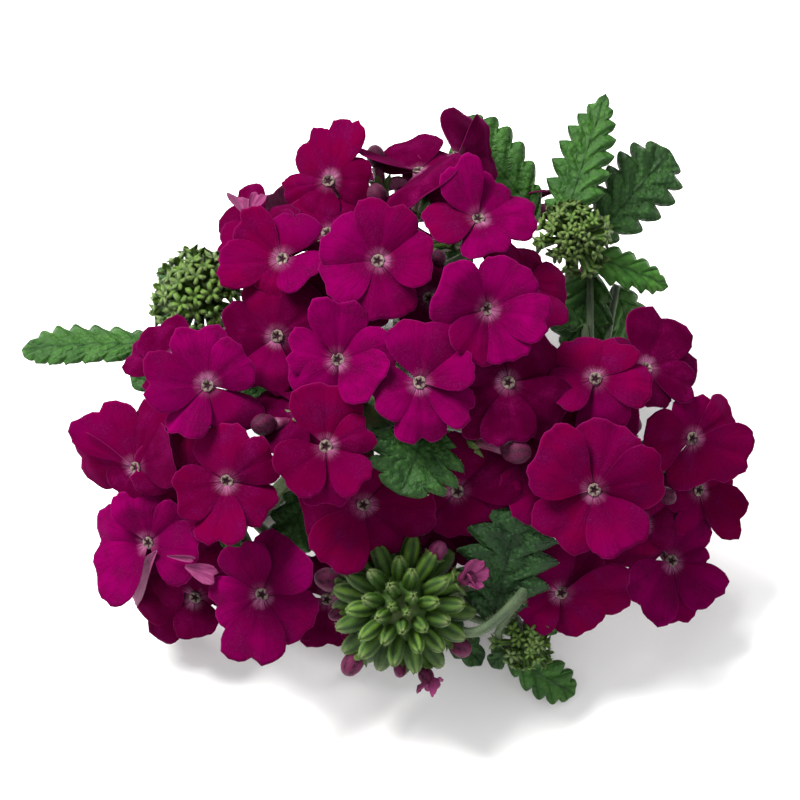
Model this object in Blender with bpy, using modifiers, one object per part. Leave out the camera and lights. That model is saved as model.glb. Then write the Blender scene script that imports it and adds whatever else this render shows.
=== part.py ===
"""A picked tuft of verbena: four flower heads, four heads of green buds, toothed leaves and the trailing
stems that carry them. It lies on its stems, flowers up. Metres, +Z up; the origin is on the flat underside
of the main stem.

Where a floret, bud head or leaf sits is written as it is seen from the front, 60 degrees above the table:
across (right), up, and toward the eye, in millimetres. seen_at() turns that into a place in the model.
"""

import math

import bmesh
import bpy
import numpy as np
from mathutils import Matrix, Vector
from mathutils.bvhtree import BVHTree

MM = 0.001
RANDOM_SEED = 7

# The line of sight that the places are written along
SIGHT_ELEVATION = math.radians(60)
SIGHT_DISTANCE = 620 * MM
SIGHT_LIFT = 12 * MM
RIGHTWARD = Vector((1, 0, 0))
UPWARD = Vector((0, math.sin(SIGHT_ELEVATION), math.cos(SIGHT_ELEVATION)))
TOWARD = Vector((0, -math.cos(SIGHT_ELEVATION), math.sin(SIGHT_ELEVATION)))

# The dome on which the eyes of the open florets lie
DOME_HALF_WIDTH = 60 * MM
DOME_HALF_DEPTH = 50 * MM
DOME_HEIGHT = 46 * MM

# A floret: five notched lobes round a narrow tube
LOBES = 5
LOBE_HALF_ANGLE = math.radians(41)
LOBE_NOTCH = 0.15
LOBE_NOTCH_WIDTH = 0.17
LOBE_SQUARENESS = 3.2
LOBE_ROUNDING = 0.42
LOBE_ARCH = 0.16
SINUS_REACH = 0.62
OUTLINE_STEPS = [-1.0, -0.62, -0.26, 0.0, 0.26, 0.62, 1.0]
LIMB_CUP = 0.10
PETAL_THICKNESS = 0.7 * MM
THROAT_RADIUS = 1.2 * MM
TUBE_ROOT_RADIUS = 0.8 * MM
EYE_HEIGHT = 0.7 * MM
CORE_SINK = 16 * MM
CORE_HALF_SIZE = (5.5 * MM, 5.5 * MM, 5 * MM)

# A lobe or a leaf that would cross what is already laid bends back by these steps, then grows smaller
CLEARANCE = 0.3 * MM
BEND_STEPS = [step * 0.75 * MM for step in range(13)]
SHRINK_STEPS = [1.0, 0.85, 0.7, 0.5]
BLADE_SHIFTS = [0, -1, 1, -2, 2, -3, 3, -4, -5, -6, -8, -10]
STALK_BENDS = [0, 3, -3, 6, -6, 9, -9, 12, -12]

# Green parts
BLADE_THICKNESS = 0.7 * MM
TOOTH_DEPTH = 0.24
STEM_WIDTH = 3.6 * MM
RUNNER_WIDTH = 2.8 * MM
STALK_RADIUS = 1.1 * MM
PETIOLE_RADIUS = 0.6 * MM
JOINT_GAP = 0.3 * MM
CALYX_SIDES = 5

# Each floret: across, up, rise above the dome, lean right, lean up, direction of the lowest lobe, diameter.
# Millimetres and degrees. A rise above 0 lies over its neighbours, one below 0 tucks under them.
FLORETS = {
    "top": [
        (-12.3, 37.8, -1.0, -20, 35, 252, 21.0),
        (3.2, 39.6, -2.0, -4, 62, 285, 20.0),
        (9.8, 42.0, -3.5, 38, 38, 300, 18.5),
        (13.5, 31.3, 2.0, 8, 33, 290, 21.0),
        (-3.8, 24.0, 3.5, -4, 8, 279, 21.5),
        (-20.3, 24.3, 1.0, -27, 6, 290, 20.5),
        (15.0, 15.7, 1.5, 6, 8, 305, 21.5),
        (-24.3, 29.0, -4.5, -42, 25, 230, 18.5),
        (21.5, 20.3, -4.5, 33, 28, 300, 18.5),
    ],
    "left": [
        (-33.2, 2.5, 2.5, -14, 12, 245, 22.0),
        (-45.6, -11.7, -0.5, -40, -3, 225, 21.5),
        (-29.9, -14.0, 3.0, -6, 2, 262, 22.0),
        (-43.4, -24.6, 0.5, -34, -12, 228, 20.5),
        (-35.3, -34.0, -2.0, -20, -18, 225, 21.0),
        (-23.8, -33.5, 2.5, -8, -6, 256, 23.0),
        (-39.5, 6.5, -5.0, -33, 33, 230, 18.0),
        (-14.5, -34.0, -8.0, -4, -22, 200, 19.0),
    ],
    "middle": [
        (-21.2, 11.0, -4.0, -14, 8, 245, 20.0),
        (-10.7, 7.0, 0.5, -4, 12, 277, 21.5),
        (3.4, 3.0, 1.0, 3, 15, 272, 22.0),
        (-12.8, -8.0, 2.0, -5, 2, 265, 21.5),
        (-6.3, -18.0, -4.5, 0, -10, 240, 21.0),
        (9.9, -15.7, -4.0, 4, -8, 262, 21.0),
        (-17.0, -1.5, -5.5, -12, 22, 250, 17.5),
    ],
    "right": [
        (18.7, 3.0, -1.5, 6, 8, 282, 22.5),
        (33.7, 3.7, 1.0, 4, 20, 270, 20.5),
        (42.5, 5.5, -3.0, 30, 28, 250, 19.5),
        (33.5, -15.5, 4.0, 2, -2, 297, 25.0),
        (50.4, -6.6, 1.5, 28, 5, 300, 19.5),
        (51.5, -15.5, -3.0, 34, -8, 243, 19.0),
        (46.8, -27.7, 1.0, 14, -5, 280, 21.5),
        (27.8, -33.2, -1.5, 5, -12, 250, 21.5),
        (41.5, -21.5, -5.5, 14, -8, 285, 17.0),
    ],
}

# Florets on the far side: head, place in the model, direction that the face looks, lowest lobe, diameter
FAR_FLORETS = [
    ("top", (-20, 29, 25), (-0.35, 0.90, 0.25), 262, 19.0),
    ("top", (2, 34, 16), (0.02, 0.98, 0.20), 275, 19.0),
    ("top", (21, 31, 26), (0.30, 0.90, 0.30), 268, 19.0),
    ("top", (-28, 25, 20), (-0.55, 0.80, 0.25), 255, 17.0),
    ("top", (0, 27, 38), (0.00, 0.85, 0.52), 284, 17.0),
    ("right", (37, 17, 14), (0.62, 0.75, 0.22), 280, 17.0),
]

# Each head's middle, across and up; its core sits CORE_SINK behind the dome there
HEAD_MIDDLES = {"top": (-1, 25), "left": (-30, -17), "middle": (-5, -3), "right": (36, -9)}

# Each blade: owner, base, tip (across, up, toward), width, teeth a side, lean right, lean up, arch
BLADES = {
    "left": [
        ((-37, 7.5, 9), (-65, 8.5, 3), 10, 7, -10, 35, 1.5),
        ((-37, 2, 11), (-46.5, 4, 9), 5.5, 2, -10, 20, 0.5),
        ((-26, -20, 10), (-40, -28, 5), 10, 4, -20, -10, 1.0),
    ],
    "middle": [
        ((5, -3.5, 38), (-0.2, -16.3, 42), 16, 4, 0, -12, 1.5),
        ((-20, -7, 27), (-26.5, 5, 29), 9, 4, -15, 5, 0.5),
        ((-15, -14, 24), (-20.5, -28, 25), 7, 4, -10, -5, 0.5),
    ],
    "right": [
        ((33, 20, 13), (31, 8, 8), 10, 4, -14, -5, 1.0),
        ((37, 20, 9), (39.5, 9, 2), 8.5, 4, 15, 5, 1.0),
        ((31.8, 12.8, 15), (21.8, 15.4, 19), 5, 4, 0, 30, 0.5),
        ((36, -20, 14), (45, -25, 8), 9, 4, 15, -10, 0.5),
    ],
    "top": [
        ((24, 31, 4), (9.5, 48.5, 4), 15, 4, 0, 8, 1.5),
        ((-6, 24, -4), (-17, 31, -13), 11, 5, -30, 50, 1.0),
        ((8, 24, -4), (12, 31, -14), 11, 5, 20, 50, 1.0),
    ],
    "bud_right": [
        ((29, 31, 15), (35.6, 52.6, 9), 10, 6, -10, 0, 1.0),
        ((33.5, 31, 11), (47, 43.5, 4), 13, 5, 14, 8, 1.0),
        ((31.5, 24.6, 16), (45.8, 19.4, 12), 7.5, 6, 8, 25, 0.8),
    ],
    "bud_front": [
        ((15.5, -38.5, 28), (20.5, -18.4, 38), 17, 4, 4, -10, 1.0),
        ((6, -36, 20), (14, -45.6, 16), 4.5, 3, 5, -10, 0.5),
        ((-3, -38, 20), (-7.5, -45, 17), 4.5, 3, -5, -10, 0.5),
    ],
    "bud_corner": [
        ((20.5, -44.5, 23), (30, -51.2, 16), 8, 4, 5, -5, 0.6),
        ((22.5, -41.5, 27), (27.2, -37.3, 25), 4, 3, 5, 5, 0.3),
        ((19, -42, 25), (15.8, -45.9, 22), 4, 2, -5, -5, 0.3),
    ],
    "bud_left": [
        ((-33, 16, 12), (-43, 24, -2), 8, 4, -20, 50, 1.0),
    ],
}

# Each bud head: middle (across, up, toward), lean right, lean up, buds, core radius, longest bud, fattest
BUD_HEADS = {
    "bud_left": ((-35.0, 18.0, 19), -22, 28, 22, 3.2, 5.6, 1.25),
    "bud_right": ((30.0, 28.0, 17), 6, 14, 22, 3.0, 4.4, 1.15),
    "bud_front": ((0.3, -35.5, 33), 0, -6, 40, 6.8, 5.6, 1.8),
    "bud_corner": ((21.6, -41.6, 27), 8, -8, 12, 2.2, 3.0, 1.0),
}
BUD_SPREAD = math.radians(108)
GOLDEN_TURN = math.radians(137.508)

# The trailing stems, in plan on the table: the main stem's joints, then the runners that leave them
MAIN_STEM = [(3, 36), (1, 20), (-1, 3), (1, -14), (0, -27)]
RUNNERS = {
    "bud_left": [(0, 19), (-16, 17), (-29, 9)],
    "bud_right": [(1, 21), (16, 20), (30, 12)],
    "left": [(-1, 3), (-14, -5), (-25, -17)],
    "right": [(-1, 2), (16, -4), (31, -13)],
    "bud_corner": [(0, -25), (9, -31), (17, -36)],
}
SHOOT_FEET = {
    "top": (0, 12),
    "middle": (0, -8),
    "left": (-24, -16),
    "right": (30, -12.5),
    "bud_left": (-28, 9.5),
    "bud_right": (29, 12.5),
    "bud_front": (0, -24),
    "bud_corner": (16, -35.3),
}


def seen_at(across, up, toward):
    """The place in the model of a point seen across and up from the middle of the view, that far toward the eye."""
    nearer = 1 - toward * MM / SIGHT_DISTANCE
    place = RIGHTWARD * (across * MM * nearer) + UPWARD * (up * MM * nearer) + TOWARD * (toward * MM)
    return place + Vector((0, 0, SIGHT_LIFT))


def dome_toward(across, up):
    """How far toward the eye, in millimetres, the sight line meets the front of the dome."""
    for toward in np.arange(75, -30, -0.25):
        x, y, z = seen_at(across, up, toward)
        share = (x / DOME_HALF_WIDTH) ** 2 + (y / DOME_HALF_DEPTH) ** 2
        if share + ((z - SIGHT_LIFT) / DOME_HEIGHT) ** 2 <= 1:
            return float(toward)
    return 12.0


def facing(lean_right, lean_up):
    """The unit direction that leans so many degrees right and up from the line of sight."""
    right = math.sin(math.radians(lean_right))
    up = math.sin(math.radians(lean_up))
    ahead = math.sqrt(max(0.02, 1 - right * right - up * up))
    return (RIGHTWARD * right + UPWARD * up + TOWARD * ahead).normalized()


def face_matrix(place, normal, across=RIGHTWARD):
    """A frame at place whose Z looks along normal and whose X is as near as it can be to across."""
    side = (across - normal * across.dot(normal)).normalized()
    return Matrix.Translation(place) @ Matrix((side, normal.cross(side), normal)).transposed().to_4x4()


def finish_material(name, colour, roughness):
    material = bpy.data.materials.new(name)
    material.use_nodes = True
    shader = material.node_tree.nodes["Principled BSDF"]
    shader.inputs["Base Color"].default_value = (*colour, 1)
    shader.inputs["Roughness"].default_value = roughness
    shader.inputs["Metallic"].default_value = 0
    return material


def mesh_object(name, mesh, collection):
    made = bpy.data.objects.new(name, mesh)
    collection.objects.link(made)
    return made


def bmesh_object(name, bm, collection):
    mesh = bpy.data.meshes.new(name)
    bm.to_mesh(mesh)
    bm.free()
    return mesh_object(name, mesh, collection)


def applied(obj):
    """The object's mesh with its modifiers applied, in the model's own place."""
    bpy.context.view_layer.update()
    graph = bpy.context.evaluated_depsgraph_get()
    mesh = bpy.data.meshes.new_from_object(obj.evaluated_get(graph))
    mesh.transform(obj.matrix_world)
    return mesh


def fuse(name, pieces, scratch, collection, material):
    """One closed solid from overlapping pieces, by a Boolean union of the first with a collection of the rest."""
    base, rest = pieces[0], pieces[1:]
    for piece in rest:
        scratch.objects.unlink(piece)
        gathered.objects.link(piece)
    union = base.modifiers.new("union", "BOOLEAN")
    union.operation = "UNION"
    union.operand_type = "COLLECTION"
    union.collection = gathered
    union.solver = "MANIFOLD"
    fused = mesh_object(name, applied(base), collection)
    fused.data.name = name
    fused.data.materials.clear()
    fused.data.materials.append(material)
    for piece in pieces:
        bpy.data.objects.remove(piece)
    return fused


def lobe_reach(angle, lobe_angle):
    """A lobe's outline as a share of its length: a rounded square in polar form, notched at its middle."""
    across = abs((angle - lobe_angle + math.pi) % (2 * math.pi) - math.pi) / LOBE_HALF_ANGLE
    if across >= 1:
        return 0.0
    rounded = (1 - across**LOBE_SQUARENESS) ** LOBE_ROUNDING
    return rounded * (1 - LOBE_NOTCH * math.exp(-((across / LOBE_NOTCH_WIDTH) ** 2)))


def limb_height(share, across):
    """Height of the limb over its rim, as a share of the lobe's length: cupped outward, lobes arched across."""
    return LIMB_CUP * share * share - LOBE_ARCH * share * across * across


def lobe_points(angle, size, drop, radius):
    """A lobe's own points in the floret's frame: its middle, then its outline from sinus to sinus."""
    half_gap = math.pi / LOBES
    points = [(angle, size * 0.52, size * limb_height(0.52, 0.0) - drop * 0.27)]
    for step in OUTLINE_STEPS:
        is_sinus = abs(step) == 1
        reach = radius * SINUS_REACH if is_sinus else size * lobe_reach(angle + step * half_gap, angle)
        share = reach / (radius if is_sinus else size)
        height = radius * limb_height(share, abs(step) * 0.9) - drop * share * share
        points.append((angle + step * half_gap, reach, height))
    return [Vector((reach * math.cos(a), reach * math.sin(a), height)) for a, reach, height in points]


def lobe_faces():
    """Triangles fanned from a lobe's middle over its outline."""
    return [(0, k, k + 1) for k in range(1, len(OUTLINE_STEPS))]


def limb_mesh(lobes):
    """The whole limb's points and triangles from its five lobes; neighbours share the sinus between them."""
    per_lobe = len(OUTLINE_STEPS)
    points = [Vector((0, 0, 0))]
    for k, lobe in enumerate(lobes):
        shared = lobe[1].lerp(lobes[k - 1][-1], 0.5)
        points += [lobe[0], shared] + lobe[2:-1]
    faces = []
    for k in range(LOBES):
        middle = 1 + k * per_lobe
        following = 1 + (k + 1) % LOBES * per_lobe
        rim = [middle + i for i in range(1, per_lobe)] + [following + 1]
        faces += [(0, rim[0], middle), (0, middle, rim[-1])]
        faces += [(middle, one, other) for one, other in zip(rim, rim[1:])]
    return points, faces


class Canopy:
    """What is laid so far, kept for each node as the points and triangles of its solids."""

    def __init__(self):
        self.points = {}
        self.faces = {}
        self.trees = {}

    def lay(self, node, points, faces):
        held = self.points.setdefault(node, [])
        first = len(held)
        held += points
        self.faces.setdefault(node, []).extend(tuple(first + i for i in face) for face in faces)
        self.trees[node] = BVHTree.FromPolygons(held, self.faces[node])

    def lay_object(self, node, obj):
        """Lays a solid as it is."""
        points, faces = object_surface(obj, 0)
        self.lay(node, points, faces)

    def is_clear(self, node, points, faces, own=True):
        """True where the surface crosses no node, its own one left out unless own is set."""
        probe = BVHTree.FromPolygons(points, faces)
        return not any(tree.overlap(probe) for name, tree in self.trees.items() if own or name != node)

    def is_object_clear(self, node, obj):
        """True where the solid, a clearance larger all round, crosses no other node."""
        points, faces = object_surface(obj, CLEARANCE)
        return self.is_clear(node, points, faces, own=False)


def object_surface(obj, growth):
    """A mesh object's points, moved out along their normals, and its faces."""
    points = [vertex.co + vertex.normal * growth for vertex in obj.data.vertices]
    return points, [tuple(face.vertices) for face in obj.data.polygons]


def two_sided(points, faces, normal, half):
    """Both sides of a thin sheet as one list of points and one of faces."""
    count = len(points)
    both = [point + normal * half for point in points] + [point - normal * half for point in points]
    return both, faces + [tuple(i + count for i in face) for face in faces]


def settle_lobe(canopy, head, frame, angle, size, radius):
    """The lobe bent back, and then drawn in, until it crosses nothing of another head, nor if it can its own."""
    normal = (frame.to_3x3() @ Vector((0, 0, 1))).normalized()
    half = PETAL_THICKNESS / 2 + CLEARANCE
    fallback = None
    for shrink in SHRINK_STEPS:
        for drop in BEND_STEPS:
            points = lobe_points(angle, size * shrink, drop, radius)
            placed = [frame @ point for point in points]
            probe, faces = two_sided(placed, lobe_faces(), normal, half)
            if canopy.is_clear(head, probe, faces):
                return points
            if fallback is None and canopy.is_clear(head, probe, faces, own=False):
                fallback = points
        if fallback is not None:
            return fallback
    return points


def sheet_object(name, points, faces, thickness, collection):
    """A thin closed solid on an open triangulated surface."""
    mesh = bpy.data.meshes.new(name)
    mesh.from_pydata(points, [], faces)
    sheet = mesh_object(name, mesh, collection)
    solid = sheet.modifiers.new("thickness", "SOLIDIFY")
    solid.thickness = thickness
    solid.offset = 0
    applied_mesh = applied(sheet)
    bpy.data.objects.remove(sheet)
    return mesh_object(name, applied_mesh, collection)


def taper_object(name, start, end, start_radius, end_radius, sides, collection):
    """A straight tapered piece with flat ends."""
    bm = bmesh.new()
    along = end - start
    turn = along.to_track_quat("Z", "Y").to_matrix().to_4x4()
    place = Matrix.Translation((start + end) / 2) @ turn
    bmesh.ops.create_cone(
        bm, cap_ends=True, cap_tris=False, segments=sides,
        radius1=start_radius, radius2=end_radius, depth=along.length, matrix=place,
    )
    return bmesh_object(name, bm, collection)


def ball_object(name, middle, half_sizes, normal, collection):
    """A small many-sided ball, flattened along its normal."""
    bm = bmesh.new()
    shape = face_matrix(middle, normal) @ Matrix.Diagonal((*half_sizes, 1))
    bmesh.ops.create_uvsphere(bm, u_segments=8, v_segments=5, radius=1, matrix=shape)
    return bmesh_object(name, bm, collection)


def head_core(head):
    """A head's middle behind the dome, and the direction that the head looks."""
    across, up = HEAD_MIDDLES[head]
    toward = dome_toward(across, up)
    place = seen_at(across, up, toward - CORE_SINK / MM)
    outward = place - Vector((0, 0, SIGHT_LIFT))
    return place, (outward.normalized() + TOWARD).normalized()


def floret_list():
    """Every floret as head, place, direction of its face, lowest lobe, radius and rise, front ones first."""
    rows = []
    for head, florets in FLORETS.items():
        for across, up, rise, lean_right, lean_up, turn, diameter in florets:
            place = seen_at(across, up, dome_toward(across, up) + rise)
            rows.append((head, place, facing(lean_right, lean_up), turn, diameter / 2 * MM, rise))
    for head, place, looks, turn, diameter in FAR_FLORETS:
        rows.append((head, Vector(place) * MM, Vector(looks).normalized(), turn, diameter / 2 * MM, -8.0))
    return sorted(rows, key=lambda row: -row[-1])


def settle_floret(name, node, place, normal, lobes, radius, core, canopy, scratch):
    """A floret's limb and tube, sunk along its face until both are clear of every other head."""
    for sink in BEND_STEPS:
        centre = place - normal * sink
        frame = face_matrix(centre, normal)
        settled = [settle_lobe(canopy, node, frame, angle, size, radius) for angle, size in lobes]
        points, faces = limb_mesh(settled)
        points = [frame @ point for point in points]
        eye = centre + normal * EYE_HEIGHT
        pieces = [
            sheet_object(f"{name}_limb", points, faces, PETAL_THICKNESS, scratch),
            taper_object(f"{name}_tube", core, eye, TUBE_ROOT_RADIUS, THROAT_RADIUS, 5, scratch),
        ]
        if all(canopy.is_object_clear(node, piece) for piece in pieces):
            break
        if sink < BEND_STEPS[-1]:
            for piece in pieces:
                bpy.data.objects.remove(piece)
    for piece in pieces:
        canopy.lay_object(node, piece)
    return pieces


def lay_core(head, canopy, scratch):
    """The core that a head's tubes grow from, first of that head's pieces."""
    middle, normal = head_core(head)
    core = ball_object(f"{head}_core", middle, CORE_HALF_SIZE, normal, scratch)
    canopy.lay_object(f"florets_{head}", core)
    return [core]


def lay_florets(heads, canopy, scratch, rng):
    """Adds each floret's limb and tube, front ones first, to the pieces of its head."""
    for number, (head, place, normal, turn, radius, _) in enumerate(floret_list()):
        angles = [math.radians(turn) + 2 * math.pi * k / LOBES + rng.normal(0, 0.05) for k in range(LOBES)]
        lobes = [(angle, radius * (1 + rng.normal(0, 0.04))) for angle in angles]
        heads[head] += settle_floret(
            f"floret_{number}", f"florets_{head}", place, normal, lobes, radius, head_core(head)[0], canopy, scratch
        )


def blade_points(base, tip, normal, width, teeth, arch):
    """A toothed leaf: its midrib, then its left and right edges, out and back at every tooth."""
    along = tip - base
    length = along.length
    forward = along.normalized()
    face = (normal - forward * normal.dot(forward)).normalized()
    side = face.cross(forward)
    stations = 2 * teeth + 1
    midrib, left, right = [], [], []
    for k in range(stations):
        share = k / (stations - 1)
        bow = face * (4 * arch * share * (1 - share))
        rib = base + along * share + bow
        half = width / 2 * (math.sin(math.pi * share**0.85) ** 0.75 if 0 < share < 1 else 0)
        is_tooth = k % 2 == 1
        reach = max(half * (1 if is_tooth else 1 - TOOTH_DEPTH), 0.5 * MM if k == 0 else 0)
        swept = forward * (length / stations * 0.45 if is_tooth else 0)
        lift = face * (0.22 * reach)
        midrib.append(rib)
        left.append(rib - side * reach + swept + lift)
        right.append(rib + side * reach + swept + lift)
    return midrib + left[:-1] + right[:-1], stations


def blade_faces(stations):
    """Triangles either side of the midrib."""
    last = stations - 1
    left, right = stations, stations + last
    faces = []
    for k in range(last - 1):
        faces += [(k, k + 1, left + k + 1), (k, left + k + 1, left + k)]
        faces += [(k, right + k + 1, k + 1), (k, right + k, right + k + 1)]
    faces += [(last - 1, last, left + last - 1), (last - 1, right + last - 1, last)]
    return faces


def lay_blades(owner, node, canopy, scratch):
    """The owner's leaves, each shifted along its face until it is clear, and where their stalks join them."""
    pieces, ends = [], []
    for number, (base, tip, width, teeth, lean_right, lean_up, arch) in enumerate(BLADES.get(owner, [])):
        normal = facing(lean_right, lean_up)
        start, end = seen_at(*base), seen_at(*tip)
        points, stations = blade_points(start, end, normal, width * MM, teeth, arch * MM)
        faces = blade_faces(stations)
        for shift in BLADE_SHIFTS:
            placed = [point + normal * (shift * MM) for point in points]
            probe, both = two_sided(placed, faces, normal, BLADE_THICKNESS / 2 + CLEARANCE)
            if canopy.is_clear(node, probe, both, own=False):
                break
        else:
            print("crossing:", node, "blade", number)
        blade = sheet_object(f"{owner}_blade_{number}", placed, faces, BLADE_THICKNESS, scratch)
        canopy.lay_object(node, blade)
        pieces.append(blade)
        ends.append(placed[0].lerp(placed[1], 0.5))
    return pieces, ends


def stalk_object(name, path, radius, scratch):
    """A stalk: a curve through the points of its path, with filled caps, made a mesh and welded."""
    curve = bpy.data.curves.new(name, "CURVE")
    curve.dimensions = "3D"
    curve.bevel_depth = radius
    curve.bevel_resolution = 0
    curve.use_fill_caps = True
    spline = curve.splines.new("POLY")
    spline.points.add(len(path) - 1)
    for point, place in zip(spline.points, path):
        point.co = (*place, 1)
    source = mesh_object(name, curve, scratch)
    mesh = applied(source)
    bpy.data.objects.remove(source)
    bm = bmesh.new()
    bm.from_mesh(mesh)
    bmesh.ops.remove_doubles(bm, verts=bm.verts, dist=0.00001)
    bmesh.ops.recalc_face_normals(bm, faces=bm.faces)
    return bmesh_object(name, bm, scratch)


def bent_path(start, end, rise, shift, steps):
    """Points from start to end, drawn toward a place that is rise above their middle and shifted."""
    control = start.lerp(end, 0.3) + Vector((0, 0, rise)) + shift
    path = []
    for k in range(steps + 1):
        t = k / steps
        path.append(start * (1 - t) ** 2 + control * (2 * t * (1 - t)) + end * t * t)
    return path


def bud_object(name, root, tip, fattest, scratch):
    """A calyx with its bud: a few-sided barrel drawn in to a point at both ends."""
    bm = bmesh.new()
    turn = (tip - root).to_track_quat("Z", "Y").to_matrix().to_4x4()
    shape = Matrix.Translation((root + tip) / 2) @ turn
    shape = shape @ Matrix.Diagonal((fattest, fattest, (tip - root).length / 2, 1))
    bmesh.ops.create_uvsphere(bm, u_segments=CALYX_SIDES, v_segments=3, radius=1, matrix=shape)
    return bmesh_object(name, bm, scratch)


def bud_directions(normal, count):
    """Directions spread by the golden angle over the cap round normal, with how far out each is, 0 to 1."""
    frame = face_matrix(Vector((0, 0, 0)), normal)
    for k in range(count):
        share = (k + 0.5) / count
        polar = math.acos(1 - (1 - math.cos(BUD_SPREAD)) * share)
        turn = k * GOLDEN_TURN
        flat = math.sin(polar)
        yield frame @ Vector((flat * math.cos(turn), flat * math.sin(turn), math.cos(polar))), share


def lay_bud_head(owner, canopy, scratch):
    """The green buds of one head round a small core."""
    middle, lean_right, lean_up, count, core_radius, longest, fattest = BUD_HEADS[owner]
    place = seen_at(*middle)
    normal = facing(lean_right, lean_up)
    pieces = [ball_object(f"{owner}_core", place, (core_radius * MM,) * 3, normal, scratch)]
    for k, (direction, share) in enumerate(bud_directions(normal, count)):
        size = 0.6 + 0.4 * math.sqrt(share)
        root = place + direction * (core_radius * 0.8 * MM)
        tip = place + direction * ((core_radius + longest * size) * MM)
        pieces.append(bud_object(f"{owner}_bud_{k}", root, tip, fattest * size * MM, scratch))
    for piece in pieces:
        canopy.lay_object(f"{owner}_shoot", piece)
    return pieces


def clear_stalk(name, node, start, end, rise, radius, steps, canopy, scratch):
    """A stalk from start to end, bowed sideways as far as it takes to cross no other node, and its path."""
    sideways = Vector((0, 0, 1)).cross(end - start).normalized()
    if sideways.length < 0.5:
        sideways = RIGHTWARD
    forward = Vector((0, 1, 0))
    for bow in STALK_BENDS:
        for lean in STALK_BENDS:
            shift = sideways * (bow * MM) + forward * (lean * MM)
            path = bent_path(start, end, rise, shift, steps)
            stalk = stalk_object(name, path, radius, scratch)
            if canopy.is_object_clear(node, stalk):
                canopy.lay_object(node, stalk)
                return stalk, path
            bpy.data.objects.remove(stalk)
    print("crossing:", node, name)
    path = bent_path(start, end, rise, Vector((0, 0, 0)), steps)
    stalk = stalk_object(name, path, radius, scratch)
    canopy.lay_object(node, stalk)
    return stalk, path


def shoot_pieces(owner, node, top, laid, canopy, scratch):
    """The stalk from the table up to top, with the owner's leaves on short stalks of their own."""
    foot = Vector((*SHOOT_FEET[owner], 0)) * MM
    on_main_stem = owner in ("top", "middle", "bud_front")
    foot.z = (STEM_WIDTH if on_main_stem else RUNNER_WIDTH) + STALK_RADIUS + JOINT_GAP
    rise = (top.z - foot.z) * 0.5
    stalk, path = clear_stalk(f"{owner}_stalk", node, foot, top, rise, STALK_RADIUS, 6, canopy, scratch)
    pieces = [stalk]
    blades, ends = laid
    for number, end in enumerate(ends):
        root = min(path[1:-1], key=lambda place: (place - end).length)
        name = f"{owner}_petiole_{number}"
        petiole = clear_stalk(name, node, root, end, 0, PETIOLE_RADIUS, 3, canopy, scratch)[0]
        pieces.append(petiole)
    return pieces + blades


def stem_bar(name, start, end, width, scratch):
    """A length of square stem lying on the table."""
    along = Vector((end[0] - start[0], end[1] - start[1], 0)) * MM
    middle = Vector(((start[0] + end[0]) / 2 * MM, (start[1] + end[1]) / 2 * MM, width / 2))
    bm = bmesh.new()
    shape = Matrix.Translation(middle) @ Matrix.Rotation(math.atan2(along.y, along.x), 4, "Z")
    shape = shape @ Matrix.Diagonal((along.length + width * 0.6, width, width, 1))
    bmesh.ops.create_cube(bm, size=1, matrix=shape)
    return bmesh_object(name, bm, scratch)


def trailing_stems(scratch, collection, material):
    """The main stem and its runners, square as verbena stems are, lying flat on the table."""
    bars = []
    for k, (start, end) in enumerate(zip(MAIN_STEM, MAIN_STEM[1:])):
        bars.append(stem_bar(f"stem_{k}", start, end, STEM_WIDTH, scratch))
    for owner, route in RUNNERS.items():
        for k, (start, end) in enumerate(zip(route, route[1:])):
            bars.append(stem_bar(f"runner_{owner}_{k}", start, end, RUNNER_WIDTH, scratch))
    return fuse("trailing_stems", bars, scratch, collection, material)


def centre_over_origin(collection):
    """Slides every part across the table so that the whole object's box is centred over the origin."""
    places = [vertex.co for obj in collection.objects for vertex in obj.data.vertices]
    slide = [-(min(p[axis] for p in places) + max(p[axis] for p in places)) / 2 for axis in (0, 1)]
    print("slid by", slide)
    for obj in collection.objects:
        obj.data.transform(Matrix.Translation((*slide, 0)))


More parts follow.
